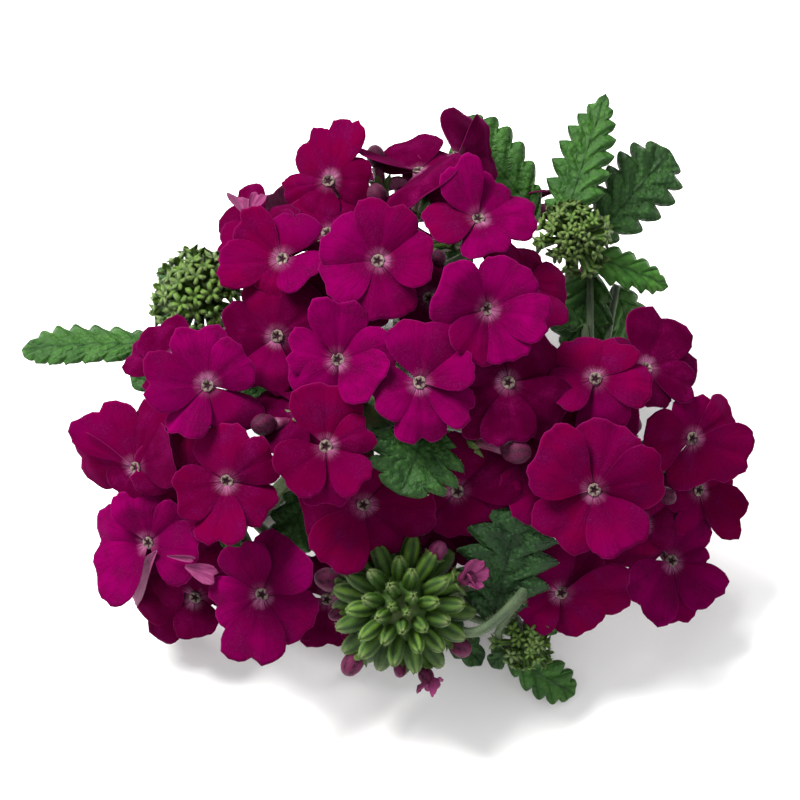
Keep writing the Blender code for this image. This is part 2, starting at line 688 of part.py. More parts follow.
def main():
    rng = np.random.default_rng(RANDOM_SEED)
    scene = bpy.context.scene
    for obj in list(bpy.data.objects):
        bpy.data.objects.remove(obj)
    verbena = bpy.data.collections.new("verbena")
    scratch = bpy.data.collections.new("scratch")
    scene.collection.children.link(verbena)
    scene.collection.children.link(scratch)
    scene.collection.children.link(gathered)
    petal = finish_material("petal", (0.30, 0.0, 0.10), 0.6)
    leaf = finish_material("leaf", (0.045, 0.12, 0.03), 0.6)
    bud = finish_material("bud", (0.10, 0.20, 0.04), 0.6)
    stem = finish_material("stem", (0.13, 0.22, 0.07), 0.6)

    canopy = Canopy()
    stems = trailing_stems(scratch, verbena, stem)
    canopy.lay_object(stems.name, stems)
    heads = {head: lay_core(head, canopy, scratch) for head in FLORETS}
    buds = {owner: lay_bud_head(owner, canopy, scratch) for owner in BUD_HEADS}
    leaves = {owner: lay_blades(owner, f"{owner}_shoot", canopy, scratch) for owner in BUD_HEADS}
    leaves["middle"] = lay_blades("middle", "leafy_shoot_middle", canopy, scratch)
    lay_florets(heads, canopy, scratch, rng)
    for head, pieces in heads.items():
        middle, normal = head_core(head)
        node = f"leafy_shoot_{head}"
        if head not in leaves:
            leaves[head] = lay_blades(head, node, canopy, scratch)
        top = middle - normal * (CORE_HALF_SIZE[2] + STALK_RADIUS + JOINT_GAP)
        heads[head] = (pieces, shoot_pieces(head, node, top, leaves[head], canopy, scratch))
    for owner, pieces in buds.items():
        top = seen_at(*BUD_HEADS[owner][0])
        pieces += shoot_pieces(owner, f"{owner}_shoot", top, leaves[owner], canopy, scratch)
    for head, (pieces, green) in heads.items():
        fuse(f"florets_{head}", pieces, scratch, verbena, petal)
        fuse(f"leafy_shoot_{head}", green, scratch, verbena, leaf)
    for owner, pieces in buds.items():
        fuse(f"{owner}_shoot", pieces, scratch, verbena, bud)
    centre_over_origin(verbena)
    bpy.data.collections.remove(scratch)
    bpy.data.collections.remove(gathered)


gathered = bpy.data.collections.new("gathered")
main()
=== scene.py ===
"""Dresses the picked verbena tuft: soft notched petals, ribbed and hairy calyces, veined and toothed
leaves, square trailing stems, on a pale table in soft light.

Places are written as in the part: across (right), up and toward the eye in millimetres, seen from the
front and 60 degrees above the table. seen_at() turns them into places in the frame.
"""

import bpy
import numpy as np
from mathutils import Matrix


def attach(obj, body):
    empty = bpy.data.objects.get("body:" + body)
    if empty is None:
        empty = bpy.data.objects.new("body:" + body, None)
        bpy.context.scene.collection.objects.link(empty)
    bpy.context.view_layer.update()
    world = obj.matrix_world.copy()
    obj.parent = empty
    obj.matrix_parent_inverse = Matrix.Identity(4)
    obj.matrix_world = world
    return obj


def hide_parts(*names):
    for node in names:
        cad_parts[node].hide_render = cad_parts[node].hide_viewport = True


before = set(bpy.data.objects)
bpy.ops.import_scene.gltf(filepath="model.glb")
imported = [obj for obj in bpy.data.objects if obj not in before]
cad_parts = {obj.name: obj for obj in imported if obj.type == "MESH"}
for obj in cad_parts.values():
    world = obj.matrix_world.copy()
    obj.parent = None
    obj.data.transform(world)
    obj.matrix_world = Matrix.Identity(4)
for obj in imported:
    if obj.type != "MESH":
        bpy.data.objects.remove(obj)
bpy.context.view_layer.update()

MM = 0.001
RNG = np.random.default_rng(11)

# The line of sight that the places are written along, and the slide that centres the tuft on its origin
SIGHT_ELEVATION = np.radians(60)
SIGHT_DISTANCE = 0.620
SIGHT_LIFT = np.array([0, 0, 0.012])
SLIDE = np.array([0.003554, 0.008301, 0])
RIGHTWARD = np.array([1.0, 0, 0])
UPWARD = np.array([0, np.sin(SIGHT_ELEVATION), np.cos(SIGHT_ELEVATION)])
TOWARD = np.array([0, -np.cos(SIGHT_ELEVATION), np.sin(SIGHT_ELEVATION)])
DOME = np.array([0.060, 0.050, 0.046])
DOME_SEARCH = np.arange(75, -30, -0.25)
OFF_DOME_TOWARD = 12.0
PHOTO_WIDTH_AT_TUFT = 0.13793

# Lobes of the florets, in shares of a lobe's length where no unit is given
LOBES = 5
LOBE_COLUMNS, LOBE_ROWS = 29, 14
LOBE_HALF_ANGLE = np.radians(46)
LOBE_NOTCH_WIDTH = 0.20
LOBE_SQUARENESS = 3.4
LOBE_ROUNDING = 0.36
LOBE_ARCH = 0.17
LIMB_CUP = 0.13
LOBE_TWIST = 0.05
LOBE_CREASE = 0.065
CREASE_WIDTH = 0.12
RIM_CURL = 0.07
CURLED_SHARE = (0.60, 1.05)
RIM_CRINKLES = ((0.014, 15, 3), (0.012, 37, 1))
RIPPLES = ((1.0, 3, 4.5, 1), (0.4, 4, 11, 2.3))
PETAL_THICKNESS = 0.22 * MM
THROAT_RADIUS = 0.72 * MM
CLAW_SHARE = 0.84
CLAW_LENGTH = (0.02, 0.55)
HALO_REACH = 2.5
HALO_START = 0.9
LOBE_ANGLE_CHANCE = 0.09
LOBE_LENGTH_CHANCE = 0.055
LOBE_LENGTHS = (0.60, 1.25)
LOBE_WIDENING = (1.0, 1.45)
# Painted shade and light by depth: a floret's tone changes by so much a millimetre that it lies above or
# below the dome, between these limits. This darkens deep florets and lightens raised ones.
DEPTH_PAINTED_SHADE = 0.07
DEPTH_PAINTED_SHADES = (-0.45, 0.15)

# How a lobe bends under a floret that lies over it: the share of the lobe where that is tested, the share
# of the upper floret that covers, how much more than needed, how far at most, and the room left between
BENT_SHARE = 0.8
COVER_SHARE = 0.95
BEND_EXTRA = 1.25
BEND_LIMIT = 8 * MM
LAYER_GAP = 1.0 * MM
FAR_RISE, FAR_FULLNESS = -8.0, 0.92

# The ring at a floret's mouth, radius and height in millimetres, with its star and its tufts, and the tube
EYE_PROFILE = [
    (0.50, -1.6), (0.80, -0.4), (0.98, -0.06), (1.08, 0.04), (1.07, 0.14), (0.98, 0.22), (0.84, 0.25),
    (0.68, 0.21), (0.52, 0.08), (0.38, -0.10), (0.16, -0.18),
]
EYE_SIDES = 35
EYE_STAR, EYE_TUFTS = 0.20, 0.05
TUBE_STEPS, TUBE_SIDES = 14, 10
TUBE_STRAIGHT = 7 * MM
TUBE_RADIUS, TUBE_FLARE = 0.75, 0.35
TUBE_SINK = 0.3 * MM

# A head's core, which the tubes run to, so many millimetres behind the dome, and its unopened buds
CORE_SINK = 16
CORE_RADIUS = 4.6 * MM
CORE_FOLDS = 0.3
BUD_STRETCH = 1.25

# Calyces: heights in shares of the length, the last two inside the mouth, and widths there, closed and open
CALYX_SIDES = 20
CALYX_RIBS = 0.10
STAR_DEPTH = 0.42
CALYX_ROWS = np.array([0.0, 0.12, 0.28, 0.45, 0.6, 0.72, 0.82, 0.9, 0.96, 1.0, 0.93, 0.84])
CLOSED_WIDTH = np.array([0.34, 0.60, 0.84, 0.97, 1.0, 0.95, 0.82, 0.62, 0.38, 0.14, 0.10, 0.04])
OPEN_WIDTH = np.array([0.40, 0.54, 0.64, 0.70, 0.74, 0.78, 0.84, 0.96, 1.20, 1.50, 0.62, 0.30])
MOUTH_ROWS = 2
CALYX_REACH = 6
BUD_SPREAD = np.radians(108)
BUD_CROWDING = 1.25
BUD_SCATTER = 0.25 * MM
GOLDEN_TURN = np.radians(137.508)

# Leaves, stems and hairs
BLADE_COLUMNS = 31
ROWS_A_TOOTH = 14
BLADE_THICKNESS = 0.35 * MM
TOOTH_DEPTH = 1.25
TOOTH_PEAK = 0.78
LEAF_SLENDERNESS = 1.15
VEIN_SLANT = 0.9
VEIN_GROOVE, MIDRIB_GROOVE = 0.24 * MM, 0.28 * MM
QUILT_HEIGHT = 0.16
STEM_WIDTH = 3.6 * MM
RUNNER_WIDTH = 2.8 * MM
STALK_RADIUS = 1.1 * MM
PETIOLE_RADIUS = 0.65 * MM
JOINT_GAP = 0.3 * MM
HAIR_RADIUS = 0.024 * MM
HAIR_WILDNESS = 0.35
LOWEST_POINT = 0.02 * MM

# Finishes and stage
NOISE_ROUGHNESS = 0.55
GRAIN_FINENESS, CLOUD_FINENESS = 5200, 260
BLISTER_FINENESS = 1100
TABLE_REACH = 3.0
KEY_PLACE, KEY_SIZE, KEY_POWER = (-0.50, 0.34, 0.92), 0.48, 36
FILL_PLACE, FILL_SIZE, FILL_POWER = (0.5, -0.9, 0.7), 1.0, 4
LIT_MIDDLE = (0, 0, 0.03)
SKY_STRENGTH = 0.80

# Each floret: across, up, rise above the dome, lean right, lean up, direction of the lowest lobe, diameter,
# direction in which the pale streaks at the eye are strongest, how full the lobes are. Lengths are in
# millimetres and directions in degrees.
FLORETS = {
    "top": [
        (-12.3, 37.8, -1.0, -14, 20, 252, 22.0, 60, 0.76),
        (3.2, 39.6, -2.0, -4, 62, 285, 20.0, -60, 0.85),
        (9.8, 42.0, -3.5, 38, 38, 300, 18.5, -90, 0.88),
        (13.5, 31.3, 2.0, 8, 33, 290, 21.0, -35, 0.84),
        (-3.8, 24.0, 3.5, -4, 8, 279, 21.5, 0, 0.98),
        (-20.3, 24.3, 1.0, -27, 6, 290, 20.5, 170, 0.90),
        (15.0, 15.7, 1.5, 6, 8, 305, 21.5, -60, 0.84),
        (-24.3, 29.0, -4.5, -42, 25, 230, 18.5, 180, 0.95),
        (21.5, 20.3, -4.5, 33, 28, 300, 18.5, 0, 0.95),
        (-12.5, 28.8, -5.5, -15, 28, 260, 18.5, 0, 0.95),
        (-9.5, 20.0, -5.0, -8, 12, 255, 18.5, 0, 0.98),
        (5.0, 17.5, -5.0, 4, 12, 270, 13.0, 0, 0.98),
    ],
    "left": [
        (-33.2, 2.5, 2.5, -14, 12, 245, 22.0, 90, 0.88),
        (-45.6, -11.7, -0.5, -40, -3, 225, 21.5, 200, 0.82),
        (-29.9, -14.0, 3.0, -6, 2, 262, 22.0, -95, 0.86),
        (-43.4, -24.6, 0.5, -34, -12, 228, 20.5, 190, 0.80),
        (-35.3, -34.0, -2.0, -20, -18, 225, 21.0, 200, 0.90),
        (-23.8, -33.5, 2.5, -8, -6, 256, 23.0, -95, 0.88),
        (-39.5, 6.5, -5.0, -33, 33, 230, 18.0, 90, 0.95),
        (-12.6, -34.3, -14.0, -4, -22, 200, 19.0, 0, 0.95),
        (-36.5, -14.0, -5.0, -18, 3, 240, 19.5, 0, 0.98),
        (-38.0, -28.0, -5.0, -16, -6, 240, 18.0, 0, 0.98),
    ],
    "middle": [
        (-21.2, 11.0, -4.0, -14, 8, 245, 20.0, 220, 0.92),
        (-10.7, 7.0, 0.5, -4, 12, 277, 21.5, -100, 0.88),
        (3.4, 3.0, 1.0, 3, 15, 272, 22.0, -90, 0.86),
        (-12.8, -8.0, 2.0, -5, 2, 265, 21.5, 10, 0.86),
        (-6.3, -18.0, -6.0, 0, -10, 240, 21.0, -30, 0.95),
        (9.9, -15.7, -6.0, 4, -8, 262, 21.0, 170, 0.95),
        (-17.0, -1.5, -5.5, -12, 22, 250, 17.5, 0, 0.95),
        (7.6, -21.3, -11.0, 0, -12, 250, 17.5, 0, 0.98),
    ],
    "right": [
        (18.7, 3.0, -1.5, 6, 8, 282, 22.5, 150, 0.90),
        (33.7, 3.7, 1.0, 4, 20, 270, 20.5, 90, 0.88),
        (42.5, 5.5, -3.0, 30, 28, 250, 19.5, 90, 0.86),
        (33.5, -15.5, 4.0, 2, -2, 297, 25.0, -125, 0.92),
        (50.4, -6.6, 1.5, 28, 5, 300, 19.5, 0, 0.84),
        (51.5, -15.5, -3.0, 34, -8, 243, 19.0, 0, 0.95),
        (46.8, -27.7, 1.0, 14, -5, 280, 21.5, -80, 0.86),
        (27.8, -33.2, -1.5, 5, -12, 250, 21.5, 200, 0.90),
        (41.5, -21.5, -5.5, 14, -8, 285, 17.0, 0, 0.95),
        (27.0, -13.0, -5.0, 4, 0, 280, 20.0, 0, 0.98),
        (33.0, -1.3, -4.5, 4, 8, 280, 15.5, 0, 0.98),
    ],
}

# Where the tips of a floret's five lobes are seen, across and up in millimetres, by the floret's middle
LOBE_TIPS = {
    (-12.3, 37.8): [(-7.6, 47.6), (-16.8, 45.6), (-20.8, 36.6), (-15.4, 30.6), (-4.8, 38.0)],
    (3.2, 39.6): [(-5.6, 41.6), (0.0, 43.4), (3.4, 33.4), (7.5, 40.0), (8.8, 37.4)],
    (9.8, 42.0): [(14.0, 46.4), (15.9, 43.6), (15.5, 38.2), (7.0, 38.9), (6.4, 41.0)],
    (13.5, 31.3): [(8.3, 38.3), (16.8, 37.4), (23.7, 31.6), (15.8, 23.9), (4.2, 30.0)],
    (-3.8, 24.0): [(-2.4, 13.6), (-13.6, 20.0), (-12.8, 29.6), (-1.4, 34.8), (6.3, 24.4)],
    (-20.3, 24.3): [(-19.7, 32.9), (-27.4, 30.4), (-29.7, 22.8), (-23.9, 18.1), (-15.2, 20.0)],
    (15.0, 15.7): [(20.6, 23.4), (25.5, 12.8), (18.8, 6.2), (10.8, 6.9), (5.4, 19.4)],
    (-24.3, 29.0): [(-28.4, 34.2), (-30.4, 26.4), (-29.0, 21.5), (-20.0, 35.0), (-19.0, 26.0)],
    (-33.2, 2.5): [(-34.4, 12.9), (-43.8, 2.2), (-38.0, -6.5), (-27.2, -5.0), (-25.9, 7.8)],
    (-45.6, -11.7): [(-51.2, -1.0), (-55.0, -9.8), (-48.6, -15.6), (-43.2, -0.4), (-38.6, -8.5)],
    (-29.9, -14.0): [(-31.8, -4.1), (-21.0, -9.0), (-22.0, -19.8), (-30.6, -25.4), (-38.8, -16.8)],
    (-43.4, -24.6): [(-45.4, -14.9), (-53.4, -25.0), (-51.0, -30.0), (-35.0, -27.6), (-37.2, -19.6)],
    (-35.3, -34.0): [(-50.2, -33.8), (-45.4, -39.0), (-34.0, -40.6), (-37.5, -27.8), (-29.0, -32.0)],
    (-23.8, -33.5): [(-27.9, -24.2), (-17.7, -24.2), (-33.4, -36.2), (-25.2, -45.2), (-15.8, -40.0)],
    (-12.6, -34.3): [(-12.6, -43.4), (-19.0, -39.5), (-7.0, -40.5), (-15.5, -27.0), (-8.5, -28.0)],
    (-39.5, 6.5): [(-40.4, 12.4), (-46.0, 7.2), (-43.5, 1.0), (-35.0, 1.0), (-33.0, 10.0)],
    (-10.7, 7.0): [(-10.3, 17.2), (-0.9, 8.6), (-3.0, 1.6), (-17.6, 0.8), (-19.8, 8.6)],
    (3.4, 3.0): [(4.4, 14.4), (12.8, 5.6), (4.2, -7.3), (-5.3, 0.4), (13.0, -1.8)],
    (-12.8, -8.0): [(-12.2, 3.1), (-4.9, -4.4), (-5.8, -15.0), (-12.9, -18.8), (-20.4, -14.2)],
    (-6.3, -18.0): [(-17.5, -20.4), (6.8, -17.6), (-12.8, -27.8), (-2.0, -28.0), (-4.0, -8.0)],
    (9.9, -15.7): [(12.6, -5.6), (21.0, -11.0), (21.0, -17.6), (10.6, -24.4), (1.0, -13.5)],
    (18.7, 3.0): [(27.2, 10.9), (29.2, -3.0), (19.4, -8.2), (9.0, -3.8), (10.0, 9.0)],
    (33.7, 3.7): [(30.0, 11.8), (38.8, 10.9), (43.7, 2.4), (36.5, -4.8), (26.2, 1.0)],
    (42.5, 5.5): [(44.2, 14.2), (51.0, 9.2), (50.2, 1.8), (44.5, -1.2), (36.0, 8.0)],
    (33.5, -15.5): [(37.8, -4.0), (22.6, -8.7), (26.0, -25.2), (39.5, -26.2), (45.8, -12.4)],
    (50.4, -6.6): [(50.3, 1.2), (58.2, -1.8), (60.3, -9.8), (53.6, -15.0), (42.2, -7.4)],
    (51.5, -15.5): [(58.2, -12.6), (57.8, -20.6), (52.0, -23.5), (46.3, -16.0), (52.0, -9.0)],
    (46.8, -27.7): [(50.0, -19.1), (52.2, -25.0), (54.0, -34.2), (47.2, -38.8), (39.0, -35.8)],
    (27.8, -33.2): [(40.0, -31.8), (34.5, -25.8), (24.0, -25.2), (20.8, -37.8), (33.0, -40.0)],
}

# Florets on the far side: head, place before the slide, direction that the face looks, direction of the
# lowest lobe, diameter
FAR_FLORETS = [
    ("top", (-20, 29, 25), (-0.35, 0.90, 0.25), 262, 19.0),
    ("top", (2, 34, 16), (0.02, 0.98, 0.20), 275, 19.0),
    ("top", (21, 31, 26), (0.30, 0.90, 0.30), 268, 19.0),
    ("top", (-28, 25, 20), (-0.55, 0.80, 0.25), 255, 17.0),
    ("top", (0, 27, 38), (0.00, 0.85, 0.52), 284, 17.0),
    ("right", (37, 17, 14), (0.62, 0.75, 0.22), 280, 17.0),
]
HEAD_MIDDLES = {"top": (-1, 25), "left": (-30, -17), "middle": (-5, -3), "right": (36, -9)}

# Unopened magenta buds among the florets: head, across, up, rise, radius
LOOSE_BUDS = [
    ("top", -4.0, 35.3, -2.0, 1.7),
    ("top", -4.2, 42.0, -2.5, 1.6),
    ("top", 6.5, 24.5, -4.0, 1.4),
    ("middle", -23.5, -4.2, -2.0, 1.8),
    ("left", -28.8, 0.4, -4.0, 1.2),
    ("middle", 20.0, -8.8, -1.0, 2.1),
    ("right", 39.8, -4.4, -3.5, 1.8),
    ("right", 46.0, -16.5, -2.0, 1.4),
]

# Petals whose pale back is seen, folded over their neighbours: head, root and tip as seen (across, up,
# rise), and the share of a full lobe's width
TURNED_LOBES = [
    ("left", (-41.6, -25.6, 2.2), (-47.3, -33.4, 3.0), 0.30),
    ("left", (-40.6, -26.8, 3.6), (-35.2, -27.6, 3.0), 0.24),
    ("left", (-37.6, -28.4, 3.2), (-31.8, -30.6, 3.0), 0.48),
    ("top", (-26.6, 31.4, 1.4), (-27.2, 35.2, 1.6), 0.80),
    ("top", (-26.2, 31.6, 1.7), (-24.0, 36.0, 2.0), 0.50),
]

# Each leaf: base, tip (across, up, toward), width, teeth a side, lean right, lean up, arch, brightness,
# how round the teeth are, how deep, and where the leaf is widest
BLADES = {
    "left": [
        ((-37, 8.8, 9), (-65.2, 8.4, 3), 8.4, 8, -10, 35, 1.5, 0.42, 0.3, 0.22, 0.54),
        ((-37, 2, 11), (-46.5, 4, 9), 5.5, 2, -10, 20, 0.5, 0.4, 0.2, 0.25, 0.50),
        ((-26, -20, 10), (-40, -28, 5), 10, 4, -20, -10, 1.0, 0.4, 0.5, 0.25, 0.45),
    ],
    "middle": [
        ((5, -3.5, 39.5), (-0.2, -16.3, 44.5), 17, 5, 0, -12, 1.5, 0.26, 0.35, 0.36, 0.45),
        ((-20, -7, 27), (-26.5, 5, 29), 9, 4, -15, 5, 0.5, 0.3, 0.5, 0.25, 0.45),
        ((-15, -14, 24), (-20.5, -28, 25), 9, 4, -10, -5, 0.5, 0.3, 0.5, 0.25, 0.45),
    ],
    "right": [
        ((33, 22.5, 13), (30.5, 8, 8), 11, 4, -14, -5, 1.0, 0.35, 0.5, 0.25, 0.45),
        ((37, 20, 9), (39.5, 9, 2), 9, 4, 15, 5, 1.0, 0.65, 0.5, 0.25, 0.50),
        ((31.8, 12.8, 15), (21.8, 15.4, 19), 5, 4, 0, 30, 0.5, 0.35, 0.5, 0.25, 0.45),
        ((36, -20, 14), (45, -25, 8), 9, 4, 15, -10, 0.5, 0.4, 0.5, 0.25, 0.45),
    ],
    "top": [
        ((24, 31, 4), (10.0, 48.2, 4), 12, 6, 0, 8, 1.5, 0.42, 0.9, 0.22, 0.52),
        ((-6, 24, -4), (-17, 31, -13), 11, 5, -30, 50, 1.0, 0.4, 0.5, 0.25, 0.45),
        ((8, 24, -4), (12, 31, -14), 11, 5, 20, 50, 1.0, 0.4, 0.5, 0.25, 0.45),
    ],
    "bud_right": [
        ((28, 29.5, 15), (35.5, 52.8, 9), 10.4, 8, -10, 0, 1.0, 0.42, 0.15, 0.34, 0.30),
        ((32, 26.5, 11), (46.4, 43.0, 4), 13, 6, 14, 8, 1.0, 0.20, 0.8, 0.32, 0.54),
        ((31.0, 25.0, 16), (46.2, 19.4, 12), 7.5, 6, 8, 25, 0.8, 0.65, 0.3, 0.26, 0.38),
    ],
    "bud_front": [
        ((15.5, -38.5, 28), (20.5, -18.4, 38), 16.5, 5, 4, -10, 1.0, 0.08, 1.0, 0.42, 0.50),
        ((6, -36, 20), (14, -45.6, 16), 5.5, 3, 5, -10, 0.5, 0.2, 0.4, 0.25, 0.50),
        ((-3, -38, 20), (-7.5, -45, 17), 5.0, 3, -5, -10, 0.5, 0.2, 0.4, 0.25, 0.50),
    ],
    "bud_corner": [
        ((18.2, -43.6, 23), (30, -50.7, 16), 7.6, 5, 5, -5, 0.6, 0.50, 0.8, 0.32, 0.48),
        ((22.5, -41.5, 27), (27.2, -37.3, 25), 4, 3, 5, 5, 0.3, 0.6, 0.3, 0.32, 0.50),
        ((19, -42, 25), (15.8, -45.9, 22), 4, 2, -5, -5, 0.3, 0.3, 0.3, 0.32, 0.50),
    ],
    "bud_left": [
        ((-33, 16, 12), (-41.5, 22.5, 0), 5, 4, -20, 50, 1.0, 0.4, 0.5, 0.25, 0.45),
    ],
}

# Each bud head: middle, lean right, lean up, buds, core radius, longest bud, fattest, how open the tips
# are, how small the middle buds are, brightness, length of the hairs
BUD_HEADS = {
    "bud_left": ((-34.4, 17.8, 19), -22, 34, 46, 3.9, 4.4, 1.15, 0.90, 0.70, 0.75, 0.45),
    "bud_right": ((30.0, 28.0, 17), 6, 14, 40, 3.3, 3.3, 0.95, 0.90, 0.60, 0.50, 0.45),
    "bud_front": ((0.3, -35.5, 33), 0, -6, 42, 6.4, 6.0, 1.70, 0.06, 0.45, 0.40, 0.45),
    "bud_corner": ((21.6, -41.6, 27), 8, -8, 30, 2.2, 2.4, 0.75, 0.95, 0.7, 0.75, 0.3),
}

# Magenta tips round the front bud head: across, up, toward, radius, open or not
BUD_TIPS = [
    (-3.0, -23.8, 34, 2.2, False),
    (3.8, -21.0, 33, 1.6, False),
    (6.5, -26.0, 37, 1.7, False),
    (11.5, -30.7, 37, 2.4, True),
    (-12.3, -31.0, 32, 2.2, False),
    (-11.0, -37.0, 32, 1.2, False),
    (10.3, -42.5, 32, 1.9, False),
    (-8.2, -45.5, 32, 2.0, False),
    (0.0, -46.5, 33, 1.2, False),
    (4.5, -47.6, 32, 2.4, True),
]

# Stems in plan before the slide, as in the part
MAIN_STEM = [(3, 36), (1, 20), (-1, 3), (1, -14), (0, -27)]
RUNNERS = {
    "bud_left": [(0, 19), (-16, 17), (-29, 9)],
    "bud_right": [(1, 21), (16, 20), (30, 12)],
    "left": [(-1, 3), (-14, -5), (-25, -17)],
    "right": [(-1, 2), (16, -4), (31, -13)],
    "bud_corner": [(0, -25), (9, -31), (17, -36)],
}
SHOOT_FEET = {
    "top": (0, 12),
    "middle": (0, -8),
    "left": (-24, -16),
    "right": (30, -12.5),
    "bud_left": (-28, 9.5),
    "bud_right": (29, 12.5),
    "bud_front": (0, -24),
    "bud_corner": (16, -35.3),
}
ON_MAIN_STEM = ("top", "middle", "bud_front")

# Short hairy stems beside the front bud head: their path as seen, and their radius
LOOSE_STEMS = [
    ([(5, -37, 30), (9, -39.6, 34), (13, -40, 35), (16.5, -38, 35), (20, -34.5, 34), (22.5, -31.5, 32)],
     0.8),
    ([(17, -42, 27), (17.2, -39.5, 31), (19, -36.5, 33), (21.5, -33.8, 32)], 0.6),
]


# Places and directions


def seen_at(across, up, toward):
    """Where the sight line through (across, up) is, that far toward the eye: the picture plane shrinks with
    nearness, as one minus toward over the eye's distance."""
    across, up, toward = (np.asarray(value, float)[..., None] * MM for value in (across, up, toward))
    nearer = 1 - toward / SIGHT_DISTANCE
    return RIGHTWARD * across * nearer + UPWARD * up * nearer + TOWARD * toward + SIGHT_LIFT + SLIDE


def on_dome(across, up, rise):
    """Where the sight line meets the front of the dome, an ellipsoid, and rise millimetres nearer."""
    place = (seen_at(across, up, DOME_SEARCH) - SLIDE - SIGHT_LIFT) / DOME
    inside = (place**2).sum(-1) <= 1
    toward = DOME_SEARCH[inside.argmax()] if inside.any() else OFF_DOME_TOWARD
    return seen_at(across, up, toward + rise)


def unit(vectors):
    """Vectors made one long."""
    return vectors / np.linalg.norm(vectors, axis=-1, keepdims=True)


def facing(lean_right, lean_up):
    """The direction that leans so many degrees right and up from the line of sight."""
    right, up = np.sin(np.radians(lean_right)), np.sin(np.radians(lean_up))
    ahead = np.sqrt(max(0.02, 1 - right * right - up * up))
    return unit(RIGHTWARD * right + UPWARD * up + TOWARD * ahead)


def face_axes(normal):
    """Three axes: the first as near to rightward as it can be, the last along the normal."""
    side = unit(RIGHTWARD - normal * normal[0])
    return np.stack([side, np.cross(normal, side), normal])


def axis_frames(directions):
    """Two directions square to each direction, and the direction itself, as axes."""
    helper = np.where(np.abs(directions[:, 2:]) > 0.9, RIGHTWARD, np.array([0, 0, 1.0]))
    side = unit(np.cross(helper, directions))
    return np.stack([side, np.cross(directions, side), directions], 1)


def ease(values, low, high):
    """0 below low, 1 above high, and a smooth cubic between."""
    share = np.clip((values - low) / (high - low), 0, 1)
    return share * share * (3 - 2 * share)


def around(sides):
    """Angles evenly spread over one turn."""
    return np.linspace(0, 2 * np.pi, sides, endpoint=False)


def head_core(head):
    """A head's middle behind the dome, and the direction that the head looks."""
    place = on_dome(*HEAD_MIDDLES[head], -CORE_SINK)
    return place, unit(unit(place - SLIDE - SIGHT_LIFT) + TOWARD)


def bent_path(start, end, rise, steps):
    """A quadratic curve from start to end, drawn toward a place rise above three tenths of the way."""
    control = start + (end - start) * 0.3 + np.array([0, 0, rise])
    t = np.linspace(0, 1, steps)[:, None]
    return start * (1 - t) ** 2 + control * 2 * t * (1 - t) + end * t * t


def smooth_path(joints, steps):
    """A curve through the joints: between two of them a cubic, whose slope at a joint is half the step
    from the joint before to the joint after. The end steps are carried on past the ends."""
    joints = np.asarray(joints, float)
    held = np.vstack([2 * joints[0] - joints[1], joints, 2 * joints[-1] - joints[-2]])
    t = np.linspace(0, len(joints) - 1, steps)
    k = np.minimum(t.astype(int), len(joints) - 2)
    t = (t - k)[:, None]
    a, b, c, d = held[k], held[k + 1], held[k + 2], held[k + 3]
    return 0.5 * (2 * b + (c - a) * t + (2 * a - 5 * b + 4 * c - d) * t**2 + (3 * b - 3 * c + d - a) * t**3)


# Meshes from grids


def put_in_scene(name, data):
    """A new object that shows a mesh, a light or a camera."""
    thing = bpy.data.objects.new(name, data)
    bpy.context.scene.collection.objects.link(thing)
    return thing


class Mesh:
    """Grids of points gathered into one mesh, with four marks a point and the materials' numbers."""

    def __init__(self):
        self.points, self.marks, self.corners, self.starts, self.kinds = [], [], [], [], []
        self.count = 0

    def add(self, points, marks, faces, kind):
        """Adds points (n, 3) with marks (n, 4) and faces (m, 3 or 4), all of one material."""
        first = self.count
        self.points.append(points)
        self.marks.append(marks)
        self.count += len(points)
        self.more_faces(faces, first, kind)
        return first

    def more_faces(self, faces, first, kind):
        """Adds faces between points already in place, counted from first."""
        self.corners.append((faces + first).ravel())
        self.starts.append(np.full(len(faces), faces.shape[1]))
        self.kinds.append(np.full(len(faces), kind))

    def build(self, name, node, materials):
        """The finished piece, riding with the tuft and standing for its node."""
        points, corners = np.concatenate(self.points), np.concatenate(self.corners)
        points[:, 2] = np.maximum(points[:, 2], LOWEST_POINT)
        sizes = np.concatenate(self.starts)
        mesh = bpy.data.meshes.new(name)
        mesh.vertices.add(len(points))
        mesh.vertices.foreach_set("co", points.astype(np.float32).ravel())
        mesh.loops.add(len(corners))
        mesh.loops.foreach_set("vertex_index", corners.astype(np.int32))
        mesh.polygons.add(len(sizes))
        mesh.polygons.foreach_set("loop_start", (np.cumsum(sizes) - sizes).astype(np.int32))
        mesh.polygons.foreach_set("material_index", np.concatenate(self.kinds).astype(np.int32))
        mesh.polygons.foreach_set("use_smooth", np.ones(len(sizes), bool))
        mesh.update(calc_edges=True)
        marks = mesh.attributes.new("marks", "FLOAT_COLOR", "POINT")
        marks.data.foreach_set("color", np.concatenate(self.marks).astype(np.float32).ravel())
        for material in materials:
            mesh.materials.append(material)
        piece = put_in_scene(name, mesh)
        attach(piece, "root")
        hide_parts(node)


def grid_faces(rows, columns, wrapped=False):
    """Quads of a grid of rows by columns, the columns joined end to end where wrapped."""
    last = columns if wrapped else columns - 1
    row, column = np.meshgrid(np.arange(rows - 1) * columns, np.arange(last), indexing="ij")
    after = (column + 1) % columns
    corners = [row + column, row + after, row + columns + after, row + columns + column]
    return np.stack(corners, -1).reshape(-1, 4)


def repeat_faces(faces, copies, stride):
    """The same faces for each of several copies, stride points apart."""
    return (faces[None] + (np.arange(copies) * stride)[:, None, None]).reshape(-1, faces.shape[1])


def marks_on(grid, *values):
    """Four marks for each point of a grid: the given values spread over it, and zeros for the rest."""
    marks = np.zeros(grid.shape[:-1] + (4,))
    for index, value in enumerate(values):
        marks[..., index] = value
    return marks


def ring_grid(radius, turn, height):
    """Grids of local places, from a distance, an angle and a height."""
    return np.stack(np.broadcast_arrays(radius * np.cos(turn), radius * np.sin(turn), height), -1)


